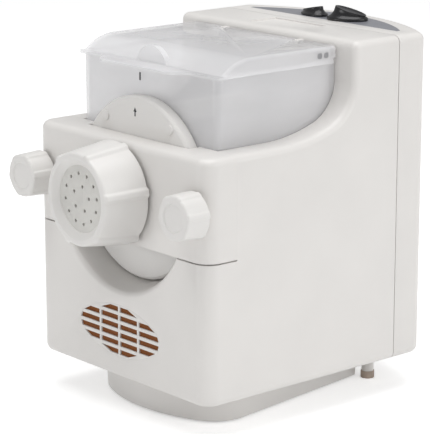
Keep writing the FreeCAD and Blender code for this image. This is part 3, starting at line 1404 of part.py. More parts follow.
def axial(label, radius, front, back, height, bore=None):
    """A round piece along the depth, with or without a bore."""
    body = new_body(label)
    sketch = front_sketch(body, back, height=height)
    circle(sketch, radius)
    if bore is not None:
        circle(sketch, bore)
    pad(body, sketch, back - front)
    return place(body)


def drive_shaft():
    """The shaft through the tower wall that turns the paddle and the auger."""
    return axial("drive_shaft", S.shaft_radius, S.shaft_front, S.plate_face + S.plate_thick,
                 S.axis_height)


def shaft_bush():
    """The bush of the drive shaft in the tower's wall."""
    return axial("shaft_bush", S.bush_radius, S.tower_face, S.tower_face + S.bush_length,
                 S.axis_height, bore=S.shaft_radius + S.running_fit)


def shaft_seal():
    """The lip seal of the drive shaft in the bowl's back wall."""
    return axial("shaft_seal", S.shaft_radius + S.bowl_wall, S.bowl_back - S.bowl_wall,
                 S.tower_face, S.axis_height, bore=S.shaft_radius + S.running_fit)


def mixing_paddle():
    """The mixing paddle: a hub with a loop on one side and two arms on the other."""
    body = new_body("mixing_paddle")
    hub = front_sketch(body, S.paddle_back, height=S.axis_height)
    circle(hub, S.paddle_hub)
    pad(body, hub, S.paddle_back - S.paddle_front)
    front = S.paddle_front + S.blade_thick / 2
    back = S.paddle_back - S.blade_thick / 2
    loop = side_sketch(body, height=S.axis_height)
    rectangle(loop, front, 0.0, back, S.paddle_radius)
    rectangle(loop, front + S.blade_width, S.loop_inner, back - S.blade_width,
              S.paddle_radius - S.blade_width)
    pad(body, loop, S.blade_thick, both=True)
    arms = side_sketch(body, height=S.axis_height)
    middle = (front + back) / 2
    rectangle(arms, front, -S.paddle_radius, front + S.blade_width, 0.0)
    rectangle(arms, middle, -S.paddle_radius, middle + S.blade_width, 0.0)
    pad(body, arms, S.blade_thick, both=True)
    bore = circle(front_sketch(body, S.paddle_back, height=S.axis_height), S.shaft_radius)
    pocket(body, bore, S.paddle_back - S.paddle_front, flip=True)
    return place(body)


def extrusion_auger():
    """The auger that presses the dough through the nozzle."""
    body = new_body("extrusion_auger")
    tip = NOZZLE_FRONT + S.loose_gap * 4
    core = front_sketch(body, S.auger_back, height=S.axis_height)
    circle(core, S.auger_core)
    pad(body, core, S.auger_back - tip)
    start = tip + S.flight_thick
    flight = rectangle(side_sketch(body, height=S.axis_height), start - S.flight_thick / 2,
                       S.auger_core - S.loose_gap, start + S.flight_thick / 2, S.auger_radius)
    helix = body.newObject("PartDesign::AdditiveHelix", "auger_flight")
    helix.Profile = flight
    helix.ReferenceAxis = (flight, ["H_Axis"])
    helix.Mode = "pitch-height-angle"
    bind(helix, Pitch=S.auger_pitch, Height=S.auger_pitch * 2.5)
    bore = circle(front_sketch(body, S.auger_back, height=S.axis_height), S.shaft_radius)
    pocket(body, bore, S.auger_back - S.shaft_front, flip=True)
    return place(body)


def involute(angle):
    """The involute function of a pressure angle."""
    return math.tan(angle) - angle


def gear(label, teeth, module, front, thick, bore, height, tooth_down):
    """A spur gear along the depth, with involute flanks of three points each.

    Its numbers come from the sheet. tooth_down puts the middle of a tooth straight down, and
    otherwise the middle of a gap points straight up."""
    count = int(SHEET.get(teeth))
    pitch_module = SHEET.get(module)
    pressure = math.radians(20.0)
    pitch = pitch_module * count / 2
    base = pitch * math.cos(pressure)
    tip = pitch + pitch_module
    foot = pitch - pitch_module * 1.25
    half = (math.pi * pitch_module / 2 - SHEET.get("backlash")) / (2 * pitch)
    start = -math.pi / 2 if tooth_down else math.pi / 2 + math.pi / count
    points = []
    for tooth in range(count):
        middle = start + 2 * math.pi * tooth / count
        flank = []
        for radius in (max(base, foot), pitch, tip):
            lean = involute(math.acos(min(base / radius, 1.0)))
            flank.append((radius, half + involute(pressure) - lean))
        flank.insert(0, (foot, flank[0][1]))
        for radius, lean in flank:
            points.append((radius, middle - lean))
        for radius, lean in reversed(flank):
            points.append((radius, middle + lean))
    y = front.value
    z = height.value
    corners = [FreeCAD.Vector(radius * math.cos(angle), y, z + radius * math.sin(angle))
               for radius, angle in points]
    run = FreeCAD.Vector(0, thick.value, 0)
    blank = Part.Face(Part.makePolygon(corners + corners[:1])).extrude(run)
    hole = Part.makeCylinder(bore.value, thick.value, FreeCAD.Vector(0, y, z),
                             FreeCAD.Vector(0, 1, 0))
    piece = DOC.addObject("Part::Feature", label)
    piece.Label = label
    piece.Shape = blank.cut(hole)
    return place(piece)


def output_gear():
    """The large gear on the drive shaft."""
    return gear("output_gear", "drive_teeth", "module_slow", S.gear_face, S.gear_thick,
                S.shaft_radius, S.axis_height, True)


def idler_pinion():
    """The small gear on the idler's axle."""
    return gear("idler_pinion", "idler_teeth", "module_slow", S.gear_face, S.gear_thick,
                S.idler_axle, IDLER_HEIGHT, False)


def idler_wheel():
    """The large gear on the idler's axle."""
    return gear("idler_wheel", "wheel_teeth", "module_fast", S.wheel_face, S.wheel_thick,
                S.idler_axle, IDLER_HEIGHT, True)


def motor_pinion():
    """The small gear on the motor's shaft."""
    return gear("motor_pinion", "pinion_teeth", "module_fast", S.wheel_face, S.wheel_thick,
                S.rotor_shaft, MOTOR_HEIGHT, False)


def idler_axle():
    """The axle of the idler gears."""
    return axial("idler_axle", S.idler_axle, S.tower_face + S.wall + S.loose_gap,
                 S.plate_face + S.plate_thick, IDLER_HEIGHT)


def gear_plate():
    """The plate that carries the back ends of the shafts, on four posts."""
    body = new_body("gear_plate")
    back = S.plate_face + S.plate_thick
    foot = MOTOR_HEIGHT - S.bearing_radius
    pad(body, outline(front_sketch(body, back), [
        (-S.plate_foot, foot), (S.plate_foot, foot), (S.plate_waist, S.post_low),
        (S.plate_half, S.axis_height), (S.plate_half, S.plate_top),
        (-S.plate_half, S.plate_top), (-S.plate_half, S.axis_height),
        (-S.plate_waist, S.post_low),
    ]), S.plate_thick)
    posts = front_sketch(body, S.plate_face)
    for side in (1.0, -1.0):
        circle(posts, S.post_radius, S.post_high_half * side, S.post_high)
        circle(posts, S.post_radius, S.post_low_half * side, S.post_low)
    pad(body, posts, S.plate_face - S.tower_face - S.wall)
    holes = front_sketch(body, back)
    circle(holes, S.shaft_radius + S.running_fit, 0.0, S.axis_height)
    circle(holes, S.idler_axle + S.running_fit, 0.0, IDLER_HEIGHT)
    circle(holes, S.rotor_shaft + S.running_fit, 0.0, MOTOR_HEIGHT)
    pocket(body, holes, S.plate_thick, flip=True)
    return place(body)


def square_plate(label, front, back, foot, bore):
    """A square plate round the motor's axis, with its bore and four bolt holes."""
    body = new_body(label)
    top = MOTOR_HEIGHT + S.stator_half
    pad(body, rectangle(front_sketch(body, back), -S.stator_half, foot, S.stator_half, top),
        back - front)
    holes = front_sketch(body, back, height=MOTOR_HEIGHT)
    circle(holes, bore)
    for x in (1.0, -1.0):
        for z in (1.0, -1.0):
            circle(holes, S.bolt_radius, S.bolt_place * x, S.bolt_place * z)
    pocket(body, holes, back - front, flip=True)
    return place(body)


def motor_stator():
    """The laminated stator."""
    return square_plate("motor_stator", S.stator_front, S.stator_front + S.stator_length,
                        MOTOR_HEIGHT - S.stator_half, S.stator_bore)


def bracket_places():
    """The front faces of the two motor brackets."""
    front = S.stator_front - S.winding_length - S.bracket_gap - S.bracket_thick
    back = S.stator_front + S.stator_length + S.winding_length + S.bracket_gap
    return front, back


def motor_front_bracket():
    """The bracket that carries the front of the motor, on the housing's floor."""
    front = bracket_places()[0]
    return square_plate("motor_front_bracket", front, front + S.bracket_thick,
                        S.underside + S.floor_wall, S.bearing_radius)


def motor_rear_bracket():
    """The bracket that carries the back of the motor, on the housing's floor."""
    front = bracket_places()[1]
    return square_plate("motor_rear_bracket", front, front + S.bracket_thick,
                        S.underside + S.floor_wall, S.bearing_radius)


def rings(label, spans, outer, inner):
    """Two rings round the motor's axis."""
    body = new_body(label)
    for front, back in spans:
        sketch = front_sketch(body, back, height=MOTOR_HEIGHT)
        circle(sketch, outer)
        circle(sketch, inner)
        pad(body, sketch, back - front)
    return place(body)


def stator_windings():
    """The two winding heads at the ends of the stator."""
    end = S.stator_front + S.stator_length
    return rings("stator_windings", [(S.stator_front - S.winding_length, S.stator_front),
                                     (end, end + S.winding_length)],
                 S.winding_outer, S.winding_inner)


def motor_bearings():
    """The two bearings of the motor."""
    return rings("motor_bearings", [(front, front + S.bracket_thick)
                                    for front in bracket_places()],
                 S.bearing_radius, S.rotor_shaft + S.running_fit)


def motor_bolts():
    """The four bolts through the brackets and the stator."""
    body = new_body("motor_bolts")
    front, back = bracket_places()
    end = back + S.bracket_thick * 1.5
    sketch = front_sketch(body, end, height=MOTOR_HEIGHT)
    for x in (1.0, -1.0):
        for z in (1.0, -1.0):
            circle(sketch, S.bolt_radius, S.bolt_place * x, S.bolt_place * z)
    pad(body, sketch, end - front + S.bracket_thick / 2)
    return place(body)


def motor_rotor():
    """The rotor."""
    return axial("motor_rotor", S.stator_bore - S.air_gap, S.stator_front,
                 S.stator_front + S.stator_length, MOTOR_HEIGHT, bore=S.rotor_shaft)


def motor_shaft():
    """The motor's shaft, from the fan to the gear plate."""
    return axial("motor_shaft", S.rotor_shaft, S.fan_front, S.plate_face + S.plate_thick,
                 MOTOR_HEIGHT)


def cooling_fan():
    """The fan on the front end of the motor's shaft."""
    body = new_body("cooling_fan")
    back = S.fan_front + S.fan_depth
    disc = front_sketch(body, back, height=MOTOR_HEIGHT)
    circle(disc, S.fan_radius)
    pad(body, disc, S.fan_disc)
    hub = front_sketch(body, back, height=MOTOR_HEIGHT)
    circle(hub, S.fan_hub)
    pad(body, hub, S.fan_depth)
    sketch = front_sketch(body, back, height=MOTOR_HEIGHT)
    rectangle(sketch, S.fan_hub - S.fan_blade, -S.fan_blade / 2, S.fan_radius, S.fan_blade / 2)
    around(body, pad(body, sketch, S.fan_depth), sketch, S.fan_blades)
    bore = circle(front_sketch(body, back, height=MOTOR_HEIGHT), S.rotor_shaft)
    pocket(body, bore, S.fan_depth, flip=True)
    return place(body)


def lid_switch():
    """The case of the switch that the lid works."""
    body = new_body("lid_switch")
    front = S.tower_face + S.wall
    half = S.trip_case_width / 2
    low = S.plunger_height - S.trip_case_height / 2
    pad(body, rectangle(front_sketch(body, front + S.trip_case_depth), S.plunger_side - half, low,
                        S.plunger_side + half, low + S.trip_case_height), S.trip_case_depth)
    hole = circle(front_sketch(body, front + S.plunger_length, height=S.plunger_height),
                  S.plunger_radius + S.running_fit, S.plunger_side, 0.0)
    pocket(body, hole, S.plunger_length, flip=True)
    return place(body)


def switch_plunger():
    """The plunger of the lid switch."""
    body = new_body("switch_plunger")
    tip = S.lid_back + S.plunger_play
    sketch = front_sketch(body, tip + S.plunger_length, height=S.plunger_height)
    circle(sketch, S.plunger_radius, S.plunger_side, 0.0)
    pad(body, sketch, S.plunger_length)
    return place(body)


def control_board():
    """The control board on the housing's left wall, with its spacers and a relay."""
    body = new_body("control_board")
    wall = -HALF + S.wall
    near_side = wall + S.spacer_length
    board = rectangle(side_sketch(body, across=near_side), S.board_front, S.board_low,
                      S.board_front + S.board_length, S.board_low + S.board_height)
    pad(body, board, S.board_thick)
    feet = side_sketch(body, across=wall)
    inset = S.spacer_radius * 2
    for y in (S.board_front + inset, S.board_front + S.board_length - inset):
        for z in (S.board_low + inset, S.board_low + S.board_height - inset):
            circle(feet, S.spacer_radius, y, z)
    pad(body, feet, S.spacer_length)
    relay = side_sketch(body, across=near_side + S.board_thick)
    rectangle(relay, S.board_front + inset, S.board_low + S.relay_size,
              S.board_front + inset + S.relay_size, S.board_low + S.relay_size * 2)
    pad(body, relay, S.relay_size)
    return place(body)


BUILDERS = [
    main_housing, front_cover, rear_cover, base_plinth, front_feet, rear_legs, leg_caps,
    vent_grille, vent_screen, cover_screws, cord_gland,
    mixing_bowl, bowl_lid, lid_hinge_pins,
    chamber_disc, disc_seal, extrusion_die, die_nut, left_thumb_knob, right_thumb_knob,
    clamp_studs,
    mixing_paddle, extrusion_auger, drive_shaft, shaft_bush, shaft_seal,
    output_gear, idler_pinion, idler_wheel, idler_axle, motor_pinion, gear_plate,
    motor_stator, stator_windings, motor_rotor, motor_shaft, motor_front_bracket,
    motor_rear_bracket, motor_bearings, motor_bolts, cooling_fan,
    control_panel, mode_knob, power_knob, mode_spindle, power_spindle, mode_switch, power_switch,
    lid_switch, switch_plunger, control_board,
]


def check(items):
    """Stop if anything in the document failed or came out empty."""
    for item in DOC.Objects:
        if "Invalid" in item.State or "Error" in item.State:
            raise ValueError(f"{item.Label} failed: {item.State}")
    for item in items:
        if item.Shape.isNull() or not item.Shape.isValid():
            raise ValueError(f"{item.Label} has no valid shape")


for builder in BUILDERS:
    builder()
DOC.recompute()
check(PARTS)
os.makedirs("parts", exist_ok=True)
for piece in PARTS:
    piece.Shape.exportStep(os.path.join("parts", f"{piece.Label}.step"))
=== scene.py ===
import json
import logging
import math
from dataclasses import dataclass, field
from enum import Enum

import bmesh
import bpy
from mathutils import Matrix, Vector

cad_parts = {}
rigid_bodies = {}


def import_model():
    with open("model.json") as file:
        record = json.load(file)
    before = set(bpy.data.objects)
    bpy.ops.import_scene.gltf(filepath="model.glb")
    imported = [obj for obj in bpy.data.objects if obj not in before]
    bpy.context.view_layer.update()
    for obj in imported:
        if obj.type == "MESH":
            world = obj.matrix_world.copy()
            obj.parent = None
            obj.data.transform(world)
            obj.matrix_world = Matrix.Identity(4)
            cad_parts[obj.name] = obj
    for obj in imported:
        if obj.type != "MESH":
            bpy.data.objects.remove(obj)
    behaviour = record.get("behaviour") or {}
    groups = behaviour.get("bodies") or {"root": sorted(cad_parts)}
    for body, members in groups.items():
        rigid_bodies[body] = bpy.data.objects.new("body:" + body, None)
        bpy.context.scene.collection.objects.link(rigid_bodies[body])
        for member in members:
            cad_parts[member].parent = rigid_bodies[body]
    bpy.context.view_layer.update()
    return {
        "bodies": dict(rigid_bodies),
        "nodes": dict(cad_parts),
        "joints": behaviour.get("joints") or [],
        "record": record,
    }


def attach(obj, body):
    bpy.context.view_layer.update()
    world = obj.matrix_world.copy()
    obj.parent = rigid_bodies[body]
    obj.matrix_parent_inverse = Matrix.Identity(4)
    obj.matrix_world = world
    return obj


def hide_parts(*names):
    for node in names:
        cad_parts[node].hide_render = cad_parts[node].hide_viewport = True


LOG = logging.getLogger("pasta_maker")
MM = 0.001
# The model's origin lies this far behind the housing's front face.
FRONT_FACE = -109.5
# Places that several pieces share, in millimetres over the table or behind the front face.
AXIS_HEIGHT = 179.0
KNOB_SPREAD = 188.6
DIAL_SPREAD = 39.0
DIAL_ROW = 223.5
COVER_BACK = 30.0
COVER_FOOT = 140.3
REAR_SEAM = 197.0
SCOOP_RADIUS = 79.0
# How close points lie that count as one, or as on one level, in millimetres.
MERGE_MM = 0.002
NEAR_MM = 0.02
# Faces that turn by less than this are one flat face.
FLAT_DEGREES = 0.3


def at(x: float, y: float, z: float) -> Vector:
    """Turn a place in millimetres behind the front face into the model's metres.

    Args:
        x: Distance from the middle.
        y: Distance behind the housing's front face.
        z: Height over the table.

    Returns:
        The place in the model's frame.
    """
    return Vector((x, y + FRONT_FACE, z)) * MM


class Body(Enum):
    """The moving bodies of the machine."""

    FRAME = "frame"
    LID = "lid"
    PLUNGER = "plunger"
    NUT = "nut"
    LEFT_KNOB = "left_knob"
    RIGHT_KNOB = "right_knob"
    MODE = "mode_dial"
    POWER = "power_dial"
    DRIVE = "drive"
    IDLER = "idler"
    MOTOR = "motor"


class Edge(Enum):
    """How much the edges of a moulded copy are softened, in millimetres."""

    SHARP = 0.0
    CRISP = 0.2
    SOFT = 0.45
    ROUND = 0.9


class Nodes:
    """A small wrapper that adds and joins the nodes of one material."""

    def __init__(self, name: str) -> None:
        """Start an empty material.

        Args:
            name: The material's name.
        """
        self.material: bpy.types.Material = bpy.data.materials.new(name)
        self.material.use_nodes = True
        self.tree: bpy.types.NodeTree = self.material.node_tree
        self.shader: bpy.types.Node = self.tree.nodes["Principled BSDF"]
        self.place: bpy.types.Node = self.add("ShaderNodeTexCoord")

    def add(self, kind: str, **values: object) -> bpy.types.Node:
        """Add a node and set its properties.

        Args:
            kind: The node's type.
            **values: Properties by name.

        Returns:
            The new node.
        """
        node = self.tree.nodes.new(kind)
        for name, value in values.items():
            setattr(node, name, value)
        return node

    def join(self, source: bpy.types.NodeSocket, target: bpy.types.NodeSocket) -> None:
        """Link two sockets."""
        self.tree.links.new(source, target)

    def noise(self, scale: float, detail: float = 3.0, stretch: Vector | None = None
              ) -> bpy.types.NodeSocket:
        """Add a noise pattern that is fixed to the piece.

        Args:
            scale: The pattern's frequency, per metre.
            detail: How many finer layers it has.
            stretch: A scale for each axis, for grain that runs one way.

        Returns:
            The pattern's value socket.
        """
        noise = self.add("ShaderNodeTexNoise")
        noise.inputs["Scale"].default_value = scale
        noise.inputs["Detail"].default_value = detail
        source = self.place.outputs["Object"]
        if stretch is not None:
            mapping = self.add("ShaderNodeMapping")
            mapping.inputs["Scale"].default_value = stretch
            self.join(source, mapping.inputs["Vector"])
            source = mapping.outputs["Vector"]
        self.join(source, noise.inputs["Vector"])
        return noise.outputs["Fac"]

    def ramp(self, value: bpy.types.NodeSocket, low: tuple, high: tuple,
             span: tuple[float, float] = (0.35, 0.65)) -> bpy.types.NodeSocket:
        """Turn a value into a colour between two colours.

        Args:
            value: The socket that drives the ramp.
            low: The colour at the low end.
            high: The colour at the high end.
            span: Where the two ends are.

        Returns:
            The colour socket.
        """
        ramp = self.add("ShaderNodeValToRGB")
        ramp.color_ramp.elements[0].position = span[0]
        ramp.color_ramp.elements[1].position = span[1]
        ramp.color_ramp.elements[0].color = (*low, 1.0)
        ramp.color_ramp.elements[1].color = (*high, 1.0)
        self.join(value, ramp.inputs["Fac"])
        return ramp.outputs["Color"]

    def spread(self, value: bpy.types.NodeSocket, low: float, high: float
               ) -> bpy.types.NodeSocket:
        """Map a pattern's middle range to a span of numbers.

        Args:
            value: The socket with the pattern.
            low: The result at the pattern's low end.
            high: The result at its high end.

        Returns:
            The mapped socket.
        """
        span = self.add("ShaderNodeMapRange")
        span.inputs["From Min"].default_value = 0.3
        span.inputs["From Max"].default_value = 0.7
        span.inputs["To Min"].default_value = low
        span.inputs["To Max"].default_value = high
        self.join(value, span.inputs["Value"])
        return span.outputs["Result"]

    def bump(self, value: bpy.types.NodeSocket, depth_mm: float) -> None:
        """Raise the surface by a pattern.

        Args:
            value: The pattern.
            depth_mm: The pattern's height in millimetres.
        """
        bump = self.add("ShaderNodeBump")
        bump.inputs["Distance"].default_value = depth_mm * MM
        self.join(value, bump.inputs["Height"])
        self.join(bump.outputs["Normal"], self.shader.inputs["Normal"])


@dataclass(frozen=True)
class MouldedPlastic:
    """Moulded plastic: a fine spark-eroded grain under a soft, slightly uneven sheen."""

    name: str
    colour: tuple[float, float, float]
    roughness: float = 0.42
    grain_per_metre: float = 2600.0
    grain_mm: float = 0.006
    mottle: float = 0.015

    def build(self) -> bpy.types.Material:
        """Make the material.

        Returns:
            The finished material.
        """
        nodes = Nodes(self.name)
        flow = nodes.noise(18.0, 4.0)
        pale = tuple(min(channel * (1.0 + self.mottle), 1.0) for channel in self.colour)
        dull = tuple(channel * (1.0 - self.mottle) for channel in self.colour)
        nodes.join(nodes.ramp(flow, dull, pale), nodes.shader.inputs["Base Color"])
        rub = nodes.noise(70.0, 6.0)
        nodes.join(nodes.spread(rub, self.roughness - 0.05, self.roughness + 0.06),
                   nodes.shader.inputs["Roughness"])
        nodes.bump(nodes.noise(self.grain_per_metre, 2.0), self.grain_mm)
        nodes.shader.inputs["IOR"].default_value = 1.5
        return nodes.material


@dataclass(frozen=True)
class ClearPlastic:
    """Clear moulded plastic: see-through, a little milky, with faint flow lines."""

    name: str
    colour: tuple[float, float, float]
    alpha: float = 0.46

    def build(self) -> bpy.types.Material:
        """Make the material.

        Returns:
            The finished material.
        """
        nodes = Nodes(self.name)
        flow = nodes.noise(14.0, 3.0, Vector((1.0, 1.0, 3.0)))
        tint = tuple(channel * 0.95 for channel in self.colour)
        nodes.join(nodes.ramp(flow, tint, self.colour), nodes.shader.inputs["Base Color"])
        nodes.join(nodes.spread(nodes.noise(60.0, 5.0), 0.05, 0.11),
                   nodes.shader.inputs["Roughness"])
        nodes.bump(nodes.noise(30.0, 2.0), 0.04)
        nodes.shader.inputs["IOR"].default_value = 1.49
        nodes.shader.inputs["Alpha"].default_value = self.alpha
        return nodes.material


@dataclass(frozen=True)
class Metal:
    """Metal with fine tool marks that run one way."""

    name: str
    colour: tuple[float, float, float]
    roughness: float = 0.3
    stretch: tuple[float, float, float] = (1.0, 40.0, 1.0)

    def build(self) -> bpy.types.Material:
        """Make the material.

        Returns:
            The finished material.
        """
        nodes = Nodes(self.name)
        marks = nodes.noise(120.0, 5.0, Vector(self.stretch))
        dull = tuple(channel * 0.88 for channel in self.colour)
        nodes.join(nodes.ramp(marks, dull, self.colour), nodes.shader.inputs["Base Color"])
        nodes.join(nodes.spread(marks, self.roughness - 0.07, self.roughness + 0.1),
                   nodes.shader.inputs["Roughness"])
        nodes.bump(marks, 0.015)
        nodes.shader.inputs["Metallic"].default_value = 1.0
        return nodes.material


@dataclass(frozen=True)
class Rubber:
    """Matt rubber with a pebbled skin."""

    name: str
    colour: tuple[float, float, float]

    def build(self) -> bpy.types.Material:
        """Make the material.

        Returns:
            The finished material.
        """
        nodes = Nodes(self.name)
        dust = nodes.noise(50.0, 6.0)
        pale = tuple(channel * 1.6 for channel in self.colour)
        nodes.join(nodes.ramp(dust, self.colour, pale), nodes.shader.inputs["Base Color"])
        nodes.join(nodes.spread(dust, 0.68, 0.85), nodes.shader.inputs["Roughness"])
        nodes.bump(nodes.noise(1500.0, 2.0), 0.05)
        return nodes.material


@dataclass(frozen=True)
class Woven:
    """A woven dust screen: threads that cross at a small pitch."""

    name: str
    colour: tuple[float, float, float]
    pitch_mm: float = 0.9

    def build(self) -> bpy.types.Material:
        """Make the material.

        Returns:
            The finished material.
        """
        nodes = Nodes(self.name)
        crossed = None
        for direction in ("X", "Z"):
            wave = nodes.add("ShaderNodeTexWave", bands_direction=direction)
            wave.inputs["Scale"].default_value = math.pi / (10.0 * self.pitch_mm * MM)
            wave.inputs["Distortion"].default_value = 0.4
            nodes.join(nodes.place.outputs["Object"], wave.inputs["Vector"])
            if crossed is None:
                crossed = wave.outputs["Fac"]
            else:
                top = nodes.add("ShaderNodeMath", operation="MAXIMUM")
                nodes.join(crossed, top.inputs[0])
                nodes.join(wave.outputs["Fac"], top.inputs[1])
                crossed = top.outputs["Value"]
        dark = tuple(channel * 0.55 for channel in self.colour)
        nodes.join(nodes.ramp(crossed, dark, self.colour, (0.3, 0.9)),
                   nodes.shader.inputs["Base Color"])
        nodes.bump(crossed, 0.2)
        nodes.shader.inputs["Roughness"].default_value = 0.8
        return nodes.material


@dataclass(frozen=True)
class Wound:
    """Enamelled wire wound in tight rows."""

    name: str
    colour: tuple[float, float, float]

    def build(self) -> bpy.types.Material:
        """Make the material.

        Returns:
            The finished material.
        """
        nodes = Nodes(self.name)
        wave = nodes.add("ShaderNodeTexWave", bands_direction="Y")
        wave.inputs["Scale"].default_value = 350.0
        wave.inputs["Distortion"].default_value = 1.2
        nodes.join(nodes.place.outputs["Object"], wave.inputs["Vector"])
        dark = tuple(channel * 0.4 for channel in self.colour)
        nodes.join(nodes.ramp(wave.outputs["Fac"], dark, self.colour, (0.2, 0.8)),
                   nodes.shader.inputs["Base Color"])
        nodes.bump(wave.outputs["Fac"], 0.25)
        nodes.shader.inputs["Metallic"].default_value = 0.7
        nodes.shader.inputs["Roughness"].default_value = 0.38
        return nodes.material


@dataclass(frozen=True)
class CircuitBoard:
    """A lacquered board with darker tracks."""

    name: str
    colour: tuple[float, float, float]

    def build(self) -> bpy.types.Material:
        """Make the material.

        Returns:
            The finished material.
        """
        nodes = Nodes(self.name)
        cells = nodes.add("ShaderNodeTexVoronoi", distance="MANHATTAN")
        cells.inputs["Scale"].default_value = 260.0
        nodes.join(nodes.place.outputs["Object"], cells.inputs["Vector"])
        track = tuple(channel * 0.5 for channel in self.colour)
        nodes.join(nodes.ramp(cells.outputs["Distance"], track, self.colour, (0.1, 0.4)),
                   nodes.shader.inputs["Base Color"])
        nodes.bump(cells.outputs["Distance"], 0.05)
        nodes.shader.inputs["Roughness"].default_value = 0.35
        return nodes.material


FINISHES = {
    "shell_white": MouldedPlastic("satin_shell", (0.77, 0.75, 0.727), roughness=0.34),
    "disc_white": MouldedPlastic("satin_disc", (0.77, 0.755, 0.735), roughness=0.34),
    "die_white": MouldedPlastic("grained_die", (0.66, 0.65, 0.62), roughness=0.6,
                                grain_per_metre=1500.0, grain_mm=0.09, mottle=0.07),
    "clear_plastic": ClearPlastic("clear_bowl", (0.98, 0.975, 0.99)),
    "panel_grey": MouldedPlastic("panel_grey", (0.23, 0.235, 0.262), roughness=0.4),
    "knob_black": MouldedPlastic("dial_black", (0.012, 0.012, 0.014), roughness=0.24),
    "screen_brown": Woven("dust_screen", (0.27, 0.08, 0.01)),
    "rubber_dark": Rubber("rubber_dark", (0.03, 0.03, 0.03)),
    "rubber_tan": Rubber("rubber_tan", (0.36, 0.29, 0.24)),
    "seal_clear": Rubber("silicone_seal", (0.45, 0.45, 0.42)),
    "leg_plastic": MouldedPlastic("dark_plastic", (0.10, 0.10, 0.11), roughness=0.5),
    "steel_bright": Metal("turned_steel", (0.62, 0.62, 0.62)),
    "gear_plastic": MouldedPlastic("engineering_plastic", (0.70, 0.69, 0.66), roughness=0.5),
    "gear_steel": Metal("sintered_steel", (0.45, 0.45, 0.46), roughness=0.45),
    "brass_bush": Metal("sintered_bronze", (0.60, 0.43, 0.18), roughness=0.4),
    "plate_zinc": Metal("zinc_plate", (0.55, 0.56, 0.57), roughness=0.35,
                        stretch=(30.0, 1.0, 1.0)),
    "stator_iron": Metal("laminated_iron", (0.22, 0.22, 0.23), roughness=0.5,
                         stretch=(1.0, 60.0, 1.0)),
    "copper_wire": Wound("copper_wire", (0.55, 0.22, 0.10)),
    "board_green": CircuitBoard("circuit_board", (0.02, 0.14, 0.06)),
    "printed_black": MouldedPlastic("printed_black", (0.02, 0.02, 0.02), roughness=0.5),
    "printed_grey": MouldedPlastic("printed_grey", (0.30, 0.30, 0.31), roughness=0.5),
}


class Finishes:
    """The finished materials, each built once."""

    def __init__(self) -> None:
        """Build every finish."""
        self.made: dict[str, bpy.types.Material] = {
            name: finish.build() for name, finish in FINISHES.items()}

    def dress(self, piece: bpy.types.Object, name: str) -> None:
        """Give a piece one finish all over.

        Args:
            piece: The piece.
            name: The finish's name.
        """
        piece.data.materials.clear()
        piece.data.materials.append(self.made[name])


def focus(piece: bpy.types.Object) -> None:
    """Select one piece and nothing else, and make it the active one."""
    bpy.ops.object.select_all(action="DESELECT")
    piece.select_set(True)
    bpy.context.view_layer.objects.active = piece


def stand_for(piece: bpy.types.Object, node: str, body: Body, slot: str,
              finishes: Finishes) -> bpy.types.Object:
    """Finish a piece and let it take the place of its CAD node.

    Args:
        piece: The piece.
        node: The node that it stands for.
        body: The body that carries it.
        slot: Its material slot, which is also its finish.
        finishes: The finished materials.

    Returns:
        The piece.
    """
    finishes.dress(piece, slot)
    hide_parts(node)
    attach(piece, body.value)
    LOG.info("%s: %d faces", piece.name, len(piece.data.polygons))
    return piece


def loft(name: str, rings: list[list[Vector]], closed: bool, crease_degrees: float
         ) -> bpy.types.Object:
    """Join rings of points into one skin.

    Args:
        name: The new piece's name.
        rings: The rings in order, each with the same number of points.
        closed: Whether the last ring joins the first; if not, both ends get a flat cap.
        crease_degrees: The angle from which an edge stays sharp.

    Returns:
        The new piece.
    """
    shape = bmesh.new()
    rows = [[shape.verts.new(point) for point in ring] for ring in rings]
    pairs = list(zip(rows, rows[1:]))
    if closed:
        pairs.append((rows[-1], rows[0]))
    for first, second in pairs:
        for step in range(len(first)):
            after = (step + 1) % len(first)
            shape.faces.new((first[step], first[after], second[after], second[step]))
    if not closed:
        shape.faces.new(rows[0])
        shape.faces.new(rows[-1])
    bmesh.ops.recalc_face_normals(shape, faces=shape.faces)
    mesh = bpy.data.meshes.new(name)
    shape.to_mesh(mesh)
    shape.free()
    piece = bpy.data.objects.new(name, mesh)
    bpy.context.scene.collection.objects.link(piece)
    focus(piece)
    bpy.ops.object.shade_smooth_by_angle(angle=math.radians(crease_degrees))
    return piece


@dataclass(frozen=True)
class Shift:
    """A small move of the corners of a copy that lie at one level, in millimetres."""

    axis: int
    level: float
    distance: float


@dataclass(frozen=True)
class Rim:
    """A round edge on the housing's front face that gets a wide rounding, in millimetres."""

    radius: float
    width: float
    steps: int = 6
    play: float = 0.1

    def holds(self, place: Vector) -> bool:
        """Tell whether a point lies on this edge.

        Args:
            place: The point in the model's frame.

        Returns:
            True for a point on the front face at the rim's radius from the nozzle's axis.
        """
        away = place - at(0.0, 0.0, AXIS_HEIGHT)
        on_face = abs(away.y) < NEAR_MM * MM
        return on_face and abs(away.length - self.radius * MM) < self.play * MM


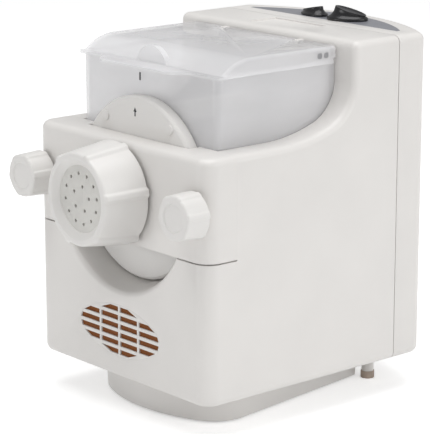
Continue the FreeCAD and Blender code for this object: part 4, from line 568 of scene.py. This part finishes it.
@dataclass
class MouldedCopy:
    """A smooth copy of a CAD node, with its joints closed and its edges softened."""

    node: str
    body: Body
    slot: str
    edge: Edge = Edge.CRISP
    crease_degrees: float = 32.0
    shifts: tuple[Shift, ...] = ()
    rim: Rim | None = None

    def reshape(self, mesh: bpy.types.Mesh) -> None:
        """Move the levels and round the rim that this copy names.

        Args:
            mesh: The copy's mesh.
        """
        shape = bmesh.new()
        shape.from_mesh(mesh)
        for shift in self.shifts:
            level = at(shift.level, shift.level, shift.level)[shift.axis]
            for vert in shape.verts:
                if abs(vert.co[shift.axis] - level) < NEAR_MM * MM:
                    vert.co[shift.axis] += shift.distance * MM
        if self.rim is not None:
            edges = [edge for edge in shape.edges
                     if all(self.rim.holds(vert.co) for vert in edge.verts)]
            bmesh.ops.bevel(shape, geom=edges, offset=self.rim.width * MM,
                            segments=self.rim.steps, profile=0.5, affect="EDGES",
                            clamp_overlap=True)
            LOG.info("%s: %d edges of the rim are rounded", self.node, len(edges))
        shape.to_mesh(mesh)
        shape.free()

    def build(self, nodes: dict, finishes: Finishes) -> bpy.types.Object:
        """Make the copy and let it stand for its node.

        Args:
            nodes: The CAD nodes by name.
            finishes: The finished materials.

        Returns:
            The copy.
        """
        source = nodes[self.node]
        bpy.ops.object.select_all(action="DESELECT")
        piece = source.copy()
        piece.data = source.data.copy()
        piece.name = f"{self.node}_shell"
        piece.parent = None
        for key in list(piece.keys()):
            del piece[key]
        bpy.context.scene.collection.objects.link(piece)
        focus(piece)
        if piece.data.has_custom_normals:
            bpy.ops.mesh.customdata_custom_splitnormals_clear()
        bpy.ops.object.mode_set(mode="EDIT")
        bpy.ops.mesh.select_all(action="SELECT")
        bpy.ops.mesh.remove_doubles(threshold=MERGE_MM * MM)
        bpy.ops.mesh.dissolve_limited(angle_limit=math.radians(FLAT_DEGREES))
        bpy.ops.object.mode_set(mode="OBJECT")
        self.reshape(piece.data)
        if self.edge.value:
            bevel = piece.modifiers.new("soft_edges", "BEVEL")
            bevel.width = self.edge.value * MM
            bevel.segments = 3
            bevel.limit_method = "ANGLE"
            bevel.angle_limit = math.radians(self.crease_degrees)
            bevel.use_clamp_overlap = True
            bpy.ops.object.modifier_apply(modifier=bevel.name)
        bpy.ops.object.shade_smooth_by_angle(angle=math.radians(self.crease_degrees))
        return stand_for(piece, self.node, self.body, self.slot, finishes)


@dataclass(frozen=True)
class Corner:
    """A corner of a turned profile, in millimetres behind the front face and from the axis."""

    depth: float
    radius: float
    rib_share: float = 0.0
    rounding: float = 0.0


def rounded(corners: list[Corner], ring: bool) -> list[Corner]:
    """Replace each rounded corner of a profile by points on a curve.

    Args:
        corners: The profile's corners in order.
        ring: Whether the profile closes on itself.

    Returns:
        The profile's points.
    """
    points: list[Corner] = []
    steps = 5
    for index, corner in enumerate(corners):
        at_end = index in (0, len(corners) - 1) and not ring
        if not corner.rounding or at_end:
            points.append(corner)
            continue
        ends = []
        for other in (corners[index - 1], corners[(index + 1) % len(corners)]):
            away = Vector((other.depth - corner.depth, other.radius - corner.radius))
            share = corner.rounding / away.length
            ends.append((corner.depth + away.x * share, corner.radius + away.y * share,
                         corner.rib_share + (other.rib_share - corner.rib_share) * share))
        for step in range(steps + 1):
            part = step / steps
            weights = ((1.0 - part) ** 2, 2.0 * part * (1.0 - part), part ** 2)
            middle = (corner.depth, corner.radius, corner.rib_share)
            points.append(Corner(*(weights[0] * first + weights[1] * mid + weights[2] * last
                                   for first, mid, last in zip(ends[0], middle, ends[1]))))
    return points


NUT_PROFILE = [
    Corner(-2.5, 30.7), Corner(-2.5, 41.0, 1.0, 0.8), Corner(-40.0, 36.0, 0.9, 2.6),
    Corner(-40.0, 31.2, 0.0, 0.3), Corner(-35.9, 26.4, 0.0, 0.3), Corner(-35.0, 26.0),
    Corner(-35.0, 30.7),
]
KNOB_PROFILE = [
    Corner(-18.0, 4.1), Corner(-2.5, 4.1), Corner(-2.5, 17.9, 1.0, 0.6),
    Corner(-23.0, 17.0, 0.8, 2.4), Corner(-23.0, 11.0, 0.0, 0.6),
    Corner(-22.0, 10.2, 0.0, 0.4), Corner(-22.0, 6.0),
]


@dataclass
class FlutedGrip:
    """A turned grip whose six ribs swell out of its side, laid ring by ring from a formula."""

    node: str
    body: Body
    across: float
    profile: list[Corner]
    rib_rise: float
    rib_half_degrees: float
    ring: bool = False
    slot: str = "disc_white"
    ribs: int = 6
    rib_top_share: float = 0.4
    first_rib_degrees: float = 10.0
    steps: int = 288
    crease_degrees: float = 40.0

    def swell(self, angle: float) -> float:
        """Tell how far the ribs stand out at an angle.

        Args:
            angle: The angle round the axis in degrees.

        Returns:
            A share of the ribs' height, from 0 between ribs to 1 on a rib.
        """
        pitch = 360.0 / self.ribs
        away = abs((angle - self.first_rib_degrees + pitch / 2) % pitch - pitch / 2)
        top = self.rib_half_degrees * self.rib_top_share
        fall = min(max((away - top) / (self.rib_half_degrees - top), 0.0), 1.0)
        return 0.5 + 0.5 * math.cos(math.pi * fall)

    def build(self, finishes: Finishes) -> bpy.types.Object:
        """Make the grip and let it stand for its node.

        Args:
            finishes: The finished materials.

        Returns:
            The grip.
        """
        rings = []
        for point in rounded(self.profile, self.ring):
            row = []
            for step in range(self.steps):
                degrees = 360.0 * step / self.steps
                reach = point.radius + self.rib_rise * point.rib_share * self.swell(degrees)
                turn = math.radians(degrees)
                row.append(at(self.across + reach * math.cos(turn), point.depth,
                              AXIS_HEIGHT + reach * math.sin(turn)))
            rings.append(row)
        piece = loft(f"{self.node}_shell", rings, self.ring, self.crease_degrees)
        return stand_for(piece, self.node, self.body, self.slot, finishes)


@dataclass(frozen=True)
class Oval:
    """One oval ring of a pointer knob, in shares of its half length, half width and height."""

    centre: float
    half_length: float
    half_width: float
    heel: float
    toe: float


@dataclass
class PointerKnob:
    """A pointer knob: an oval skirt, a waist, and a dished top that slopes to the toe."""

    node: str
    body: Body
    across: float
    angle: float
    size: tuple[float, float, float]
    slot: str = "knob_black"
    steps: int = 96
    crease_degrees: float = 50.0
    ovals: tuple[Oval, ...] = (
        Oval(0.0, 0.98, 0.97, 0.0, 0.0), Oval(0.0, 1.0, 1.0, 0.1, 0.1),
        Oval(0.0, 0.985, 0.975, 0.2, 0.18), Oval(0.02, 0.93, 0.9, 0.26, 0.22),
        Oval(0.06, 0.84, 0.8, 0.4, 0.26), Oval(0.11, 0.77, 0.72, 0.62, 0.3),
        Oval(0.15, 0.755, 0.73, 0.88, 0.34), Oval(0.155, 0.745, 0.725, 0.96, 0.38),
        Oval(0.155, 0.72, 0.69, 1.0, 0.4), Oval(0.155, 0.68, 0.64, 0.985, 0.4),
        Oval(0.155, 0.6, 0.54, 0.9, 0.37), Oval(0.155, 0.42, 0.34, 0.79, 0.42),
        Oval(0.155, 0.14, 0.1, 0.66, 0.54))

    def build(self, nodes: dict, finishes: Finishes) -> bpy.types.Object:
        """Make the knob and let it stand for its node.

        Args:
            nodes: The CAD nodes by name.
            finishes: The finished materials.

        Returns:
            The knob.
        """
        foot = min(vert.co.z for vert in nodes[self.node].data.vertices)
        centre = at(self.across, DIAL_ROW, 0.0) + Vector((0.0, 0.0, foot))
        turn = Matrix.Rotation(math.radians(self.angle), 3, "Z")
        length, width, height = self.size
        rings = []
        for oval in self.ovals:
            row = []
            for step in range(self.steps):
                around = 2.0 * math.pi * step / self.steps
                along_share = 0.5 + 0.5 * math.cos(around)
                rise = oval.heel + (oval.toe - oval.heel) * along_share
                local = Vector((
                    (oval.centre + oval.half_length * math.cos(around)) * length / 2,
                    oval.half_width * math.sin(around) * width / 2,
                    rise * height)) * MM
                row.append(turn @ local + centre)
            rings.append(row)
        piece = loft(f"{self.node}_shell", rings, False, self.crease_degrees)
        return stand_for(piece, self.node, self.body, self.slot, finishes)


@dataclass
class PrintedMark:
    """A small printed mark: a thin plate with rounded corners on a face."""

    name: str
    body: Body
    place: Vector
    size: tuple[float, float]
    facing: Vector
    slot: str
    finish: str
    thick_mm: float = 0.12

    def build(self, finishes: Finishes) -> bpy.types.Object:
        """Make the mark.

        Args:
            finishes: The finished materials.

        Returns:
            The mark.
        """
        bpy.ops.object.select_all(action="DESELECT")
        bpy.ops.mesh.primitive_plane_add(size=1.0)
        piece = bpy.context.active_object
        piece.name = self.name
        bpy.ops.object.mode_set(mode="EDIT")
        bpy.ops.transform.resize(value=(self.size[0] * MM, self.size[1] * MM, 1.0))
        bpy.ops.mesh.bevel(offset=min(self.size) * 0.3 * MM, segments=4, affect="VERTICES")
        bpy.ops.mesh.select_all(action="SELECT")
        bpy.ops.mesh.extrude_region_move(
            TRANSFORM_OT_translate={"value": (0.0, 0.0, self.thick_mm * MM)})
        bpy.ops.mesh.select_all(action="SELECT")
        bpy.ops.mesh.normals_make_consistent(inside=False)
        bpy.ops.object.mode_set(mode="OBJECT")
        turn = self.facing.to_track_quat("Z", "Y").to_matrix().to_4x4()
        piece.data.transform(Matrix.Translation(self.place) @ turn)
        finishes.dress(piece, self.finish)
        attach(piece, self.body.value)
        LOG.info("%s", piece.name)
        return piece


@dataclass
class ArrowMark:
    """A small printed arrow that points up, on a face that looks to the front."""

    name: str
    body: Body
    place: Vector
    height_mm: float
    slot: str
    finish: str
    thick_mm: float = 0.12

    def build(self, finishes: Finishes) -> bpy.types.Object:
        """Make the arrow: a three-cornered head, with a shaft extruded from its foot.

        Args:
            finishes: The finished materials.

        Returns:
            The arrow.
        """
        bpy.ops.object.select_all(action="DESELECT")
        bpy.ops.mesh.primitive_circle_add(vertices=3, radius=0.34 * self.height_mm * MM,
                                          fill_type="NGON")
        piece = bpy.context.active_object
        piece.name = self.name
        bpy.ops.object.mode_set(mode="EDIT")
        shape = bmesh.from_edit_mesh(piece.data)
        foot = min(shape.edges, key=lambda edge: sum(vert.co.y for vert in edge.verts))
        halves = bmesh.ops.subdivide_edges(shape, edges=[foot], cuts=2)
        inner = [item for item in halves["geom_inner"] if isinstance(item, bmesh.types.BMVert)]
        bmesh.update_edit_mesh(piece.data)
        bpy.ops.mesh.select_all(action="DESELECT")
        for vert in inner:
            vert.select = True
        shape.select_flush_mode()
        for edge in shape.edges:
            edge.select = all(vert in inner for vert in edge.verts)
        bmesh.update_edit_mesh(piece.data)
        bpy.ops.mesh.extrude_edges_move(
            TRANSFORM_OT_translate={"value": (0.0, -0.55 * self.height_mm * MM, 0.0)})
        bpy.ops.mesh.select_all(action="SELECT")
        bpy.ops.mesh.extrude_region_move(
            TRANSFORM_OT_translate={"value": (0.0, 0.0, self.thick_mm * MM)})
        bpy.ops.mesh.select_all(action="SELECT")
        bpy.ops.mesh.normals_make_consistent(inside=False)
        bpy.ops.object.mode_set(mode="OBJECT")
        turn = Matrix.Rotation(math.pi / 2, 4, "X")
        piece.data.transform(Matrix.Translation(self.place) @ turn)
        finishes.dress(piece, self.finish)
        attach(piece, self.body.value)
        LOG.info("%s", piece.name)
        return piece


@dataclass
class Housing:
    """The white shells, the vent, the plinth and the feet."""

    shells: dict[str, Edge] = field(default_factory=lambda: {
        "base_plinth": Edge.ROUND, "vent_grille": Edge.CRISP, "rear_legs": Edge.CRISP})
    scoop_rim: Rim = Rim(SCOOP_RADIUS, 3.5)
    # The side seam of the front cover closes up; the one under it and the rear one open.
    cover_shifts: tuple[Shift, ...] = (Shift(1, COVER_BACK, 0.28), Shift(2, COVER_FOOT, 0.9))
    rear_shifts: tuple[Shift, ...] = (Shift(1, REAR_SEAM, 0.7),)

    def build(self, nodes: dict, finishes: Finishes) -> None:
        """Make the shells.

        Args:
            nodes: The CAD nodes by name.
            finishes: The finished materials.
        """
        MouldedCopy("main_housing", Body.FRAME, "shell_white", Edge.CRISP,
                    rim=self.scoop_rim).build(nodes, finishes)
        MouldedCopy("front_cover", Body.FRAME, "shell_white", Edge.SHARP,
                    shifts=self.cover_shifts).build(nodes, finishes)
        MouldedCopy("rear_cover", Body.FRAME, "shell_white", Edge.CRISP,
                    shifts=self.rear_shifts).build(nodes, finishes)
        for node, edge in self.shells.items():
            MouldedCopy(node, Body.FRAME, "shell_white", edge).build(nodes, finishes)
        for node in ("front_feet", "cord_gland"):
            MouldedCopy(node, Body.FRAME, "rubber_dark", Edge.CRISP).build(nodes, finishes)
        MouldedCopy("leg_caps", Body.FRAME, "rubber_tan", Edge.CRISP).build(nodes, finishes)
        MouldedCopy("cover_screws", Body.FRAME, "steel_bright", Edge.CRISP).build(
            nodes, finishes)


@dataclass
class Bowl:
    """The clear bowl and its lid."""

    mark_size: tuple[float, float] = (1.6, 6.5)
    lid_mark_size: tuple[float, float] = (4.6, 4.4)

    def build(self, nodes: dict, finishes: Finishes) -> None:
        """Make the bowl and the lid.

        Args:
            nodes: The CAD nodes by name.
            finishes: The finished materials.
        """
        MouldedCopy("mixing_bowl", Body.FRAME, "clear_plastic", Edge.SOFT).build(
            nodes, finishes)
        MouldedCopy("bowl_lid", Body.LID, "clear_plastic", Edge.SOFT).build(nodes, finishes)
        MouldedCopy("lid_hinge_pins", Body.FRAME, "steel_bright").build(nodes, finishes)
        PrintedMark("fill_mark", Body.FRAME, at(-9.2, 30.5, 264.2), self.mark_size,
                    Vector((0.0, -1.0, 0.0)), "knob_black", "printed_black").build(finishes)
        for column, depth in enumerate((131.6, 138.4)):
            PrintedMark(f"lid_mark_{column + 1}", Body.LID, at(84.6, depth, 280.6),
                        self.lid_mark_size, Vector((1.0, 0.0, 0.0)), "knob_black",
                        "printed_grey").build(finishes)


@dataclass
class Nozzle:
    """The disc, the die, the nut, and the two thumb knobs with their studs."""

    def build(self, nodes: dict, finishes: Finishes) -> None:
        """Make the pieces of the extrusion end.

        Args:
            nodes: The CAD nodes by name.
            finishes: The finished materials.
        """
        MouldedCopy("chamber_disc", Body.FRAME, "disc_white", Edge.SOFT).build(nodes, finishes)
        MouldedCopy("extrusion_die", Body.FRAME, "die_white", Edge.CRISP).build(nodes, finishes)
        FlutedGrip("die_nut", Body.NUT, 0.0, NUT_PROFILE, rib_rise=2.0,
                   rib_half_degrees=6.6, ring=True).build(finishes)
        FlutedGrip("left_thumb_knob", Body.LEFT_KNOB, -KNOB_SPREAD / 2, KNOB_PROFILE,
                   rib_rise=0.9, rib_half_degrees=12.0).build(finishes)
        FlutedGrip("right_thumb_knob", Body.RIGHT_KNOB, KNOB_SPREAD / 2, KNOB_PROFILE,
                   rib_rise=0.9, rib_half_degrees=12.0).build(finishes)
        MouldedCopy("clamp_studs", Body.FRAME, "steel_bright").build(nodes, finishes)
        MouldedCopy("disc_seal", Body.FRAME, "seal_clear").build(nodes, finishes)
        ArrowMark("up_arrow", Body.FRAME, at(-2.6, 20.0, 239.8), 6.5, "knob_black",
                  "printed_black").build(finishes)


@dataclass
class Controls:
    """The panel and the two control knobs."""

    def build(self, nodes: dict, finishes: Finishes) -> None:
        """Make the controls.

        Args:
            nodes: The CAD nodes by name.
            finishes: The finished materials.
        """
        MouldedCopy("control_panel", Body.FRAME, "panel_grey", Edge.CRISP).build(
            nodes, finishes)
        PointerKnob("mode_knob", Body.MODE, DIAL_SPREAD / 2, 30.0, (34.6, 22.0, 11.6)).build(
            nodes, finishes)
        PointerKnob("power_knob", Body.POWER, -DIAL_SPREAD / 2, 170.0, (30.0, 18.4, 8.0)).build(
            nodes, finishes)


@dataclass
class Inside:
    """The pieces inside, which keep their CAD shapes and get their finishes."""

    def build(self, frame: dict, finishes: Finishes) -> None:
        """Dress every node that is left, by its slot in the record.

        Args:
            finishes: The finished materials.
        """
        for row in frame["record"]["subparts"]:
            finishes.dress(frame["nodes"][row["node"]], row["material_slot"])


@dataclass(frozen=True)
class Lamp:
    """A square soft lamp: its place and the side of its face in metres, and its watts."""

    name: str
    place: tuple[float, float, float]
    size: float
    watts: float


@dataclass
class Studio:
    """The floor, the lights and the camera of the photograph."""

    lamps: tuple[Lamp, ...] = (
        Lamp("key", (2.3, 0.6, 1.0), 1.6, 17.0),
        Lamp("top", (0.1, -0.2, 2.4), 2.0, 34.0),
        Lamp("front", (-0.6, -2.3, 0.42), 0.8, 6.0))
    aim: tuple[float, float, float] = (0.0, 0.0, 0.15)
    world_light: float = 0.43
    floor_glow: float = 0.45

    camera_place: Vector = field(default_factory=lambda: at(1267.3, -988.0, 553.8))
    forward: Vector = field(default_factory=lambda: Vector((-0.7373, 0.6321, -0.2387)))
    focal_pixels: float = 2150.69
    image_height: float = 434.0
    sensor_mm: float = 36.0
    floor_metres: float = 24.0

    def build(self) -> None:
        """Make floor, world, lights and camera."""
        self.floor()
        self.world()
        for lamp in self.lamps:
            self.light(lamp)
        self.camera()
        bpy.context.scene.view_settings.view_transform = "Standard"

    def floor(self) -> None:
        """Make the pale floor, which looks white to the camera and keeps a soft shadow."""
        bpy.ops.object.select_all(action="DESELECT")
        bpy.ops.mesh.primitive_plane_add(size=self.floor_metres)
        floor = bpy.context.active_object
        floor.name = "floor"
        nodes = Nodes("floor_paper")
        nodes.shader.inputs["Base Color"].default_value = (0.9, 0.9, 0.9, 1.0)
        nodes.shader.inputs["Roughness"].default_value = 0.9
        path = nodes.add("ShaderNodeLightPath")
        seen = nodes.add("ShaderNodeMath", operation="MAXIMUM")
        nodes.join(path.outputs["Is Camera Ray"], seen.inputs[0])
        also = nodes.add("ShaderNodeMath", operation="MAXIMUM")
        nodes.join(path.outputs["Is Glossy Ray"], also.inputs[0])
        nodes.join(path.outputs["Is Transmission Ray"], also.inputs[1])
        nodes.join(also.outputs["Value"], seen.inputs[1])
        share = nodes.add("ShaderNodeMath", operation="MULTIPLY")
        share.inputs[1].default_value = self.floor_glow
        nodes.join(seen.outputs["Value"], share.inputs[0])
        nodes.shader.inputs["Emission Color"].default_value = (1.0, 1.0, 1.0, 1.0)
        nodes.join(share.outputs["Value"], nodes.shader.inputs["Emission Strength"])
        floor.data.materials.append(nodes.material)

    def world(self) -> None:
        """Make the white surroundings, plain light on the object and white to the camera."""
        world = bpy.data.worlds.new("studio")
        bpy.context.scene.world = world
        world.use_nodes = True
        tree = world.node_tree
        sky = tree.nodes["Background"]
        sky.inputs["Color"].default_value = (1.0, 1.0, 1.0, 1.0)
        path = tree.nodes.new("ShaderNodeLightPath")
        span = tree.nodes.new("ShaderNodeMapRange")
        span.inputs["To Min"].default_value = self.world_light
        span.inputs["To Max"].default_value = 1.0
        tree.links.new(path.outputs["Is Camera Ray"], span.inputs["Value"])
        tree.links.new(span.outputs["Result"], sky.inputs["Strength"])

    def light(self, lamp: Lamp) -> None:
        """Add one soft lamp that looks at the machine.

        Args:
            lamp: The lamp's place, size and power.
        """
        data = bpy.data.lights.new(lamp.name, "AREA")
        data.size = lamp.size
        data.energy = lamp.watts
        piece = bpy.data.objects.new(lamp.name, data)
        bpy.context.scene.collection.objects.link(piece)
        piece.location = lamp.place
        look = Vector(self.aim) - Vector(lamp.place)
        piece.rotation_euler = look.to_track_quat("-Z", "Y").to_euler()

    def camera(self) -> None:
        """Place the camera where the photograph was taken from."""
        data = bpy.data.cameras.new("camera")
        data.sensor_fit = "VERTICAL"
        data.sensor_height = self.sensor_mm
        data.sensor_width = self.sensor_mm
        data.lens = self.focal_pixels / self.image_height * self.sensor_mm
        data.clip_end = 50.0
        camera = bpy.data.objects.new("camera", data)
        bpy.context.scene.collection.objects.link(camera)
        back = -self.forward.normalized()
        right = Vector((0.0, 0.0, 1.0)).cross(back).normalized()
        up = back.cross(right)
        turn = Matrix((right, up, back)).transposed().to_4x4()
        camera.matrix_world = Matrix.Translation(self.camera_place) @ turn
        bpy.context.scene.camera = camera


def main() -> None:
    """Build the machine and its studio."""
    logging.basicConfig(level=logging.INFO, format="%(message)s")
    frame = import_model()
    finishes = Finishes()
    Inside().build(frame, finishes)
    for assembly in (Housing(), Bowl(), Nozzle(), Controls()):
        assembly.build(frame["nodes"], finishes)
        LOG.info("%s is built", type(assembly).__name__)
    Studio().build()


if __name__ == "__main__":
    main()
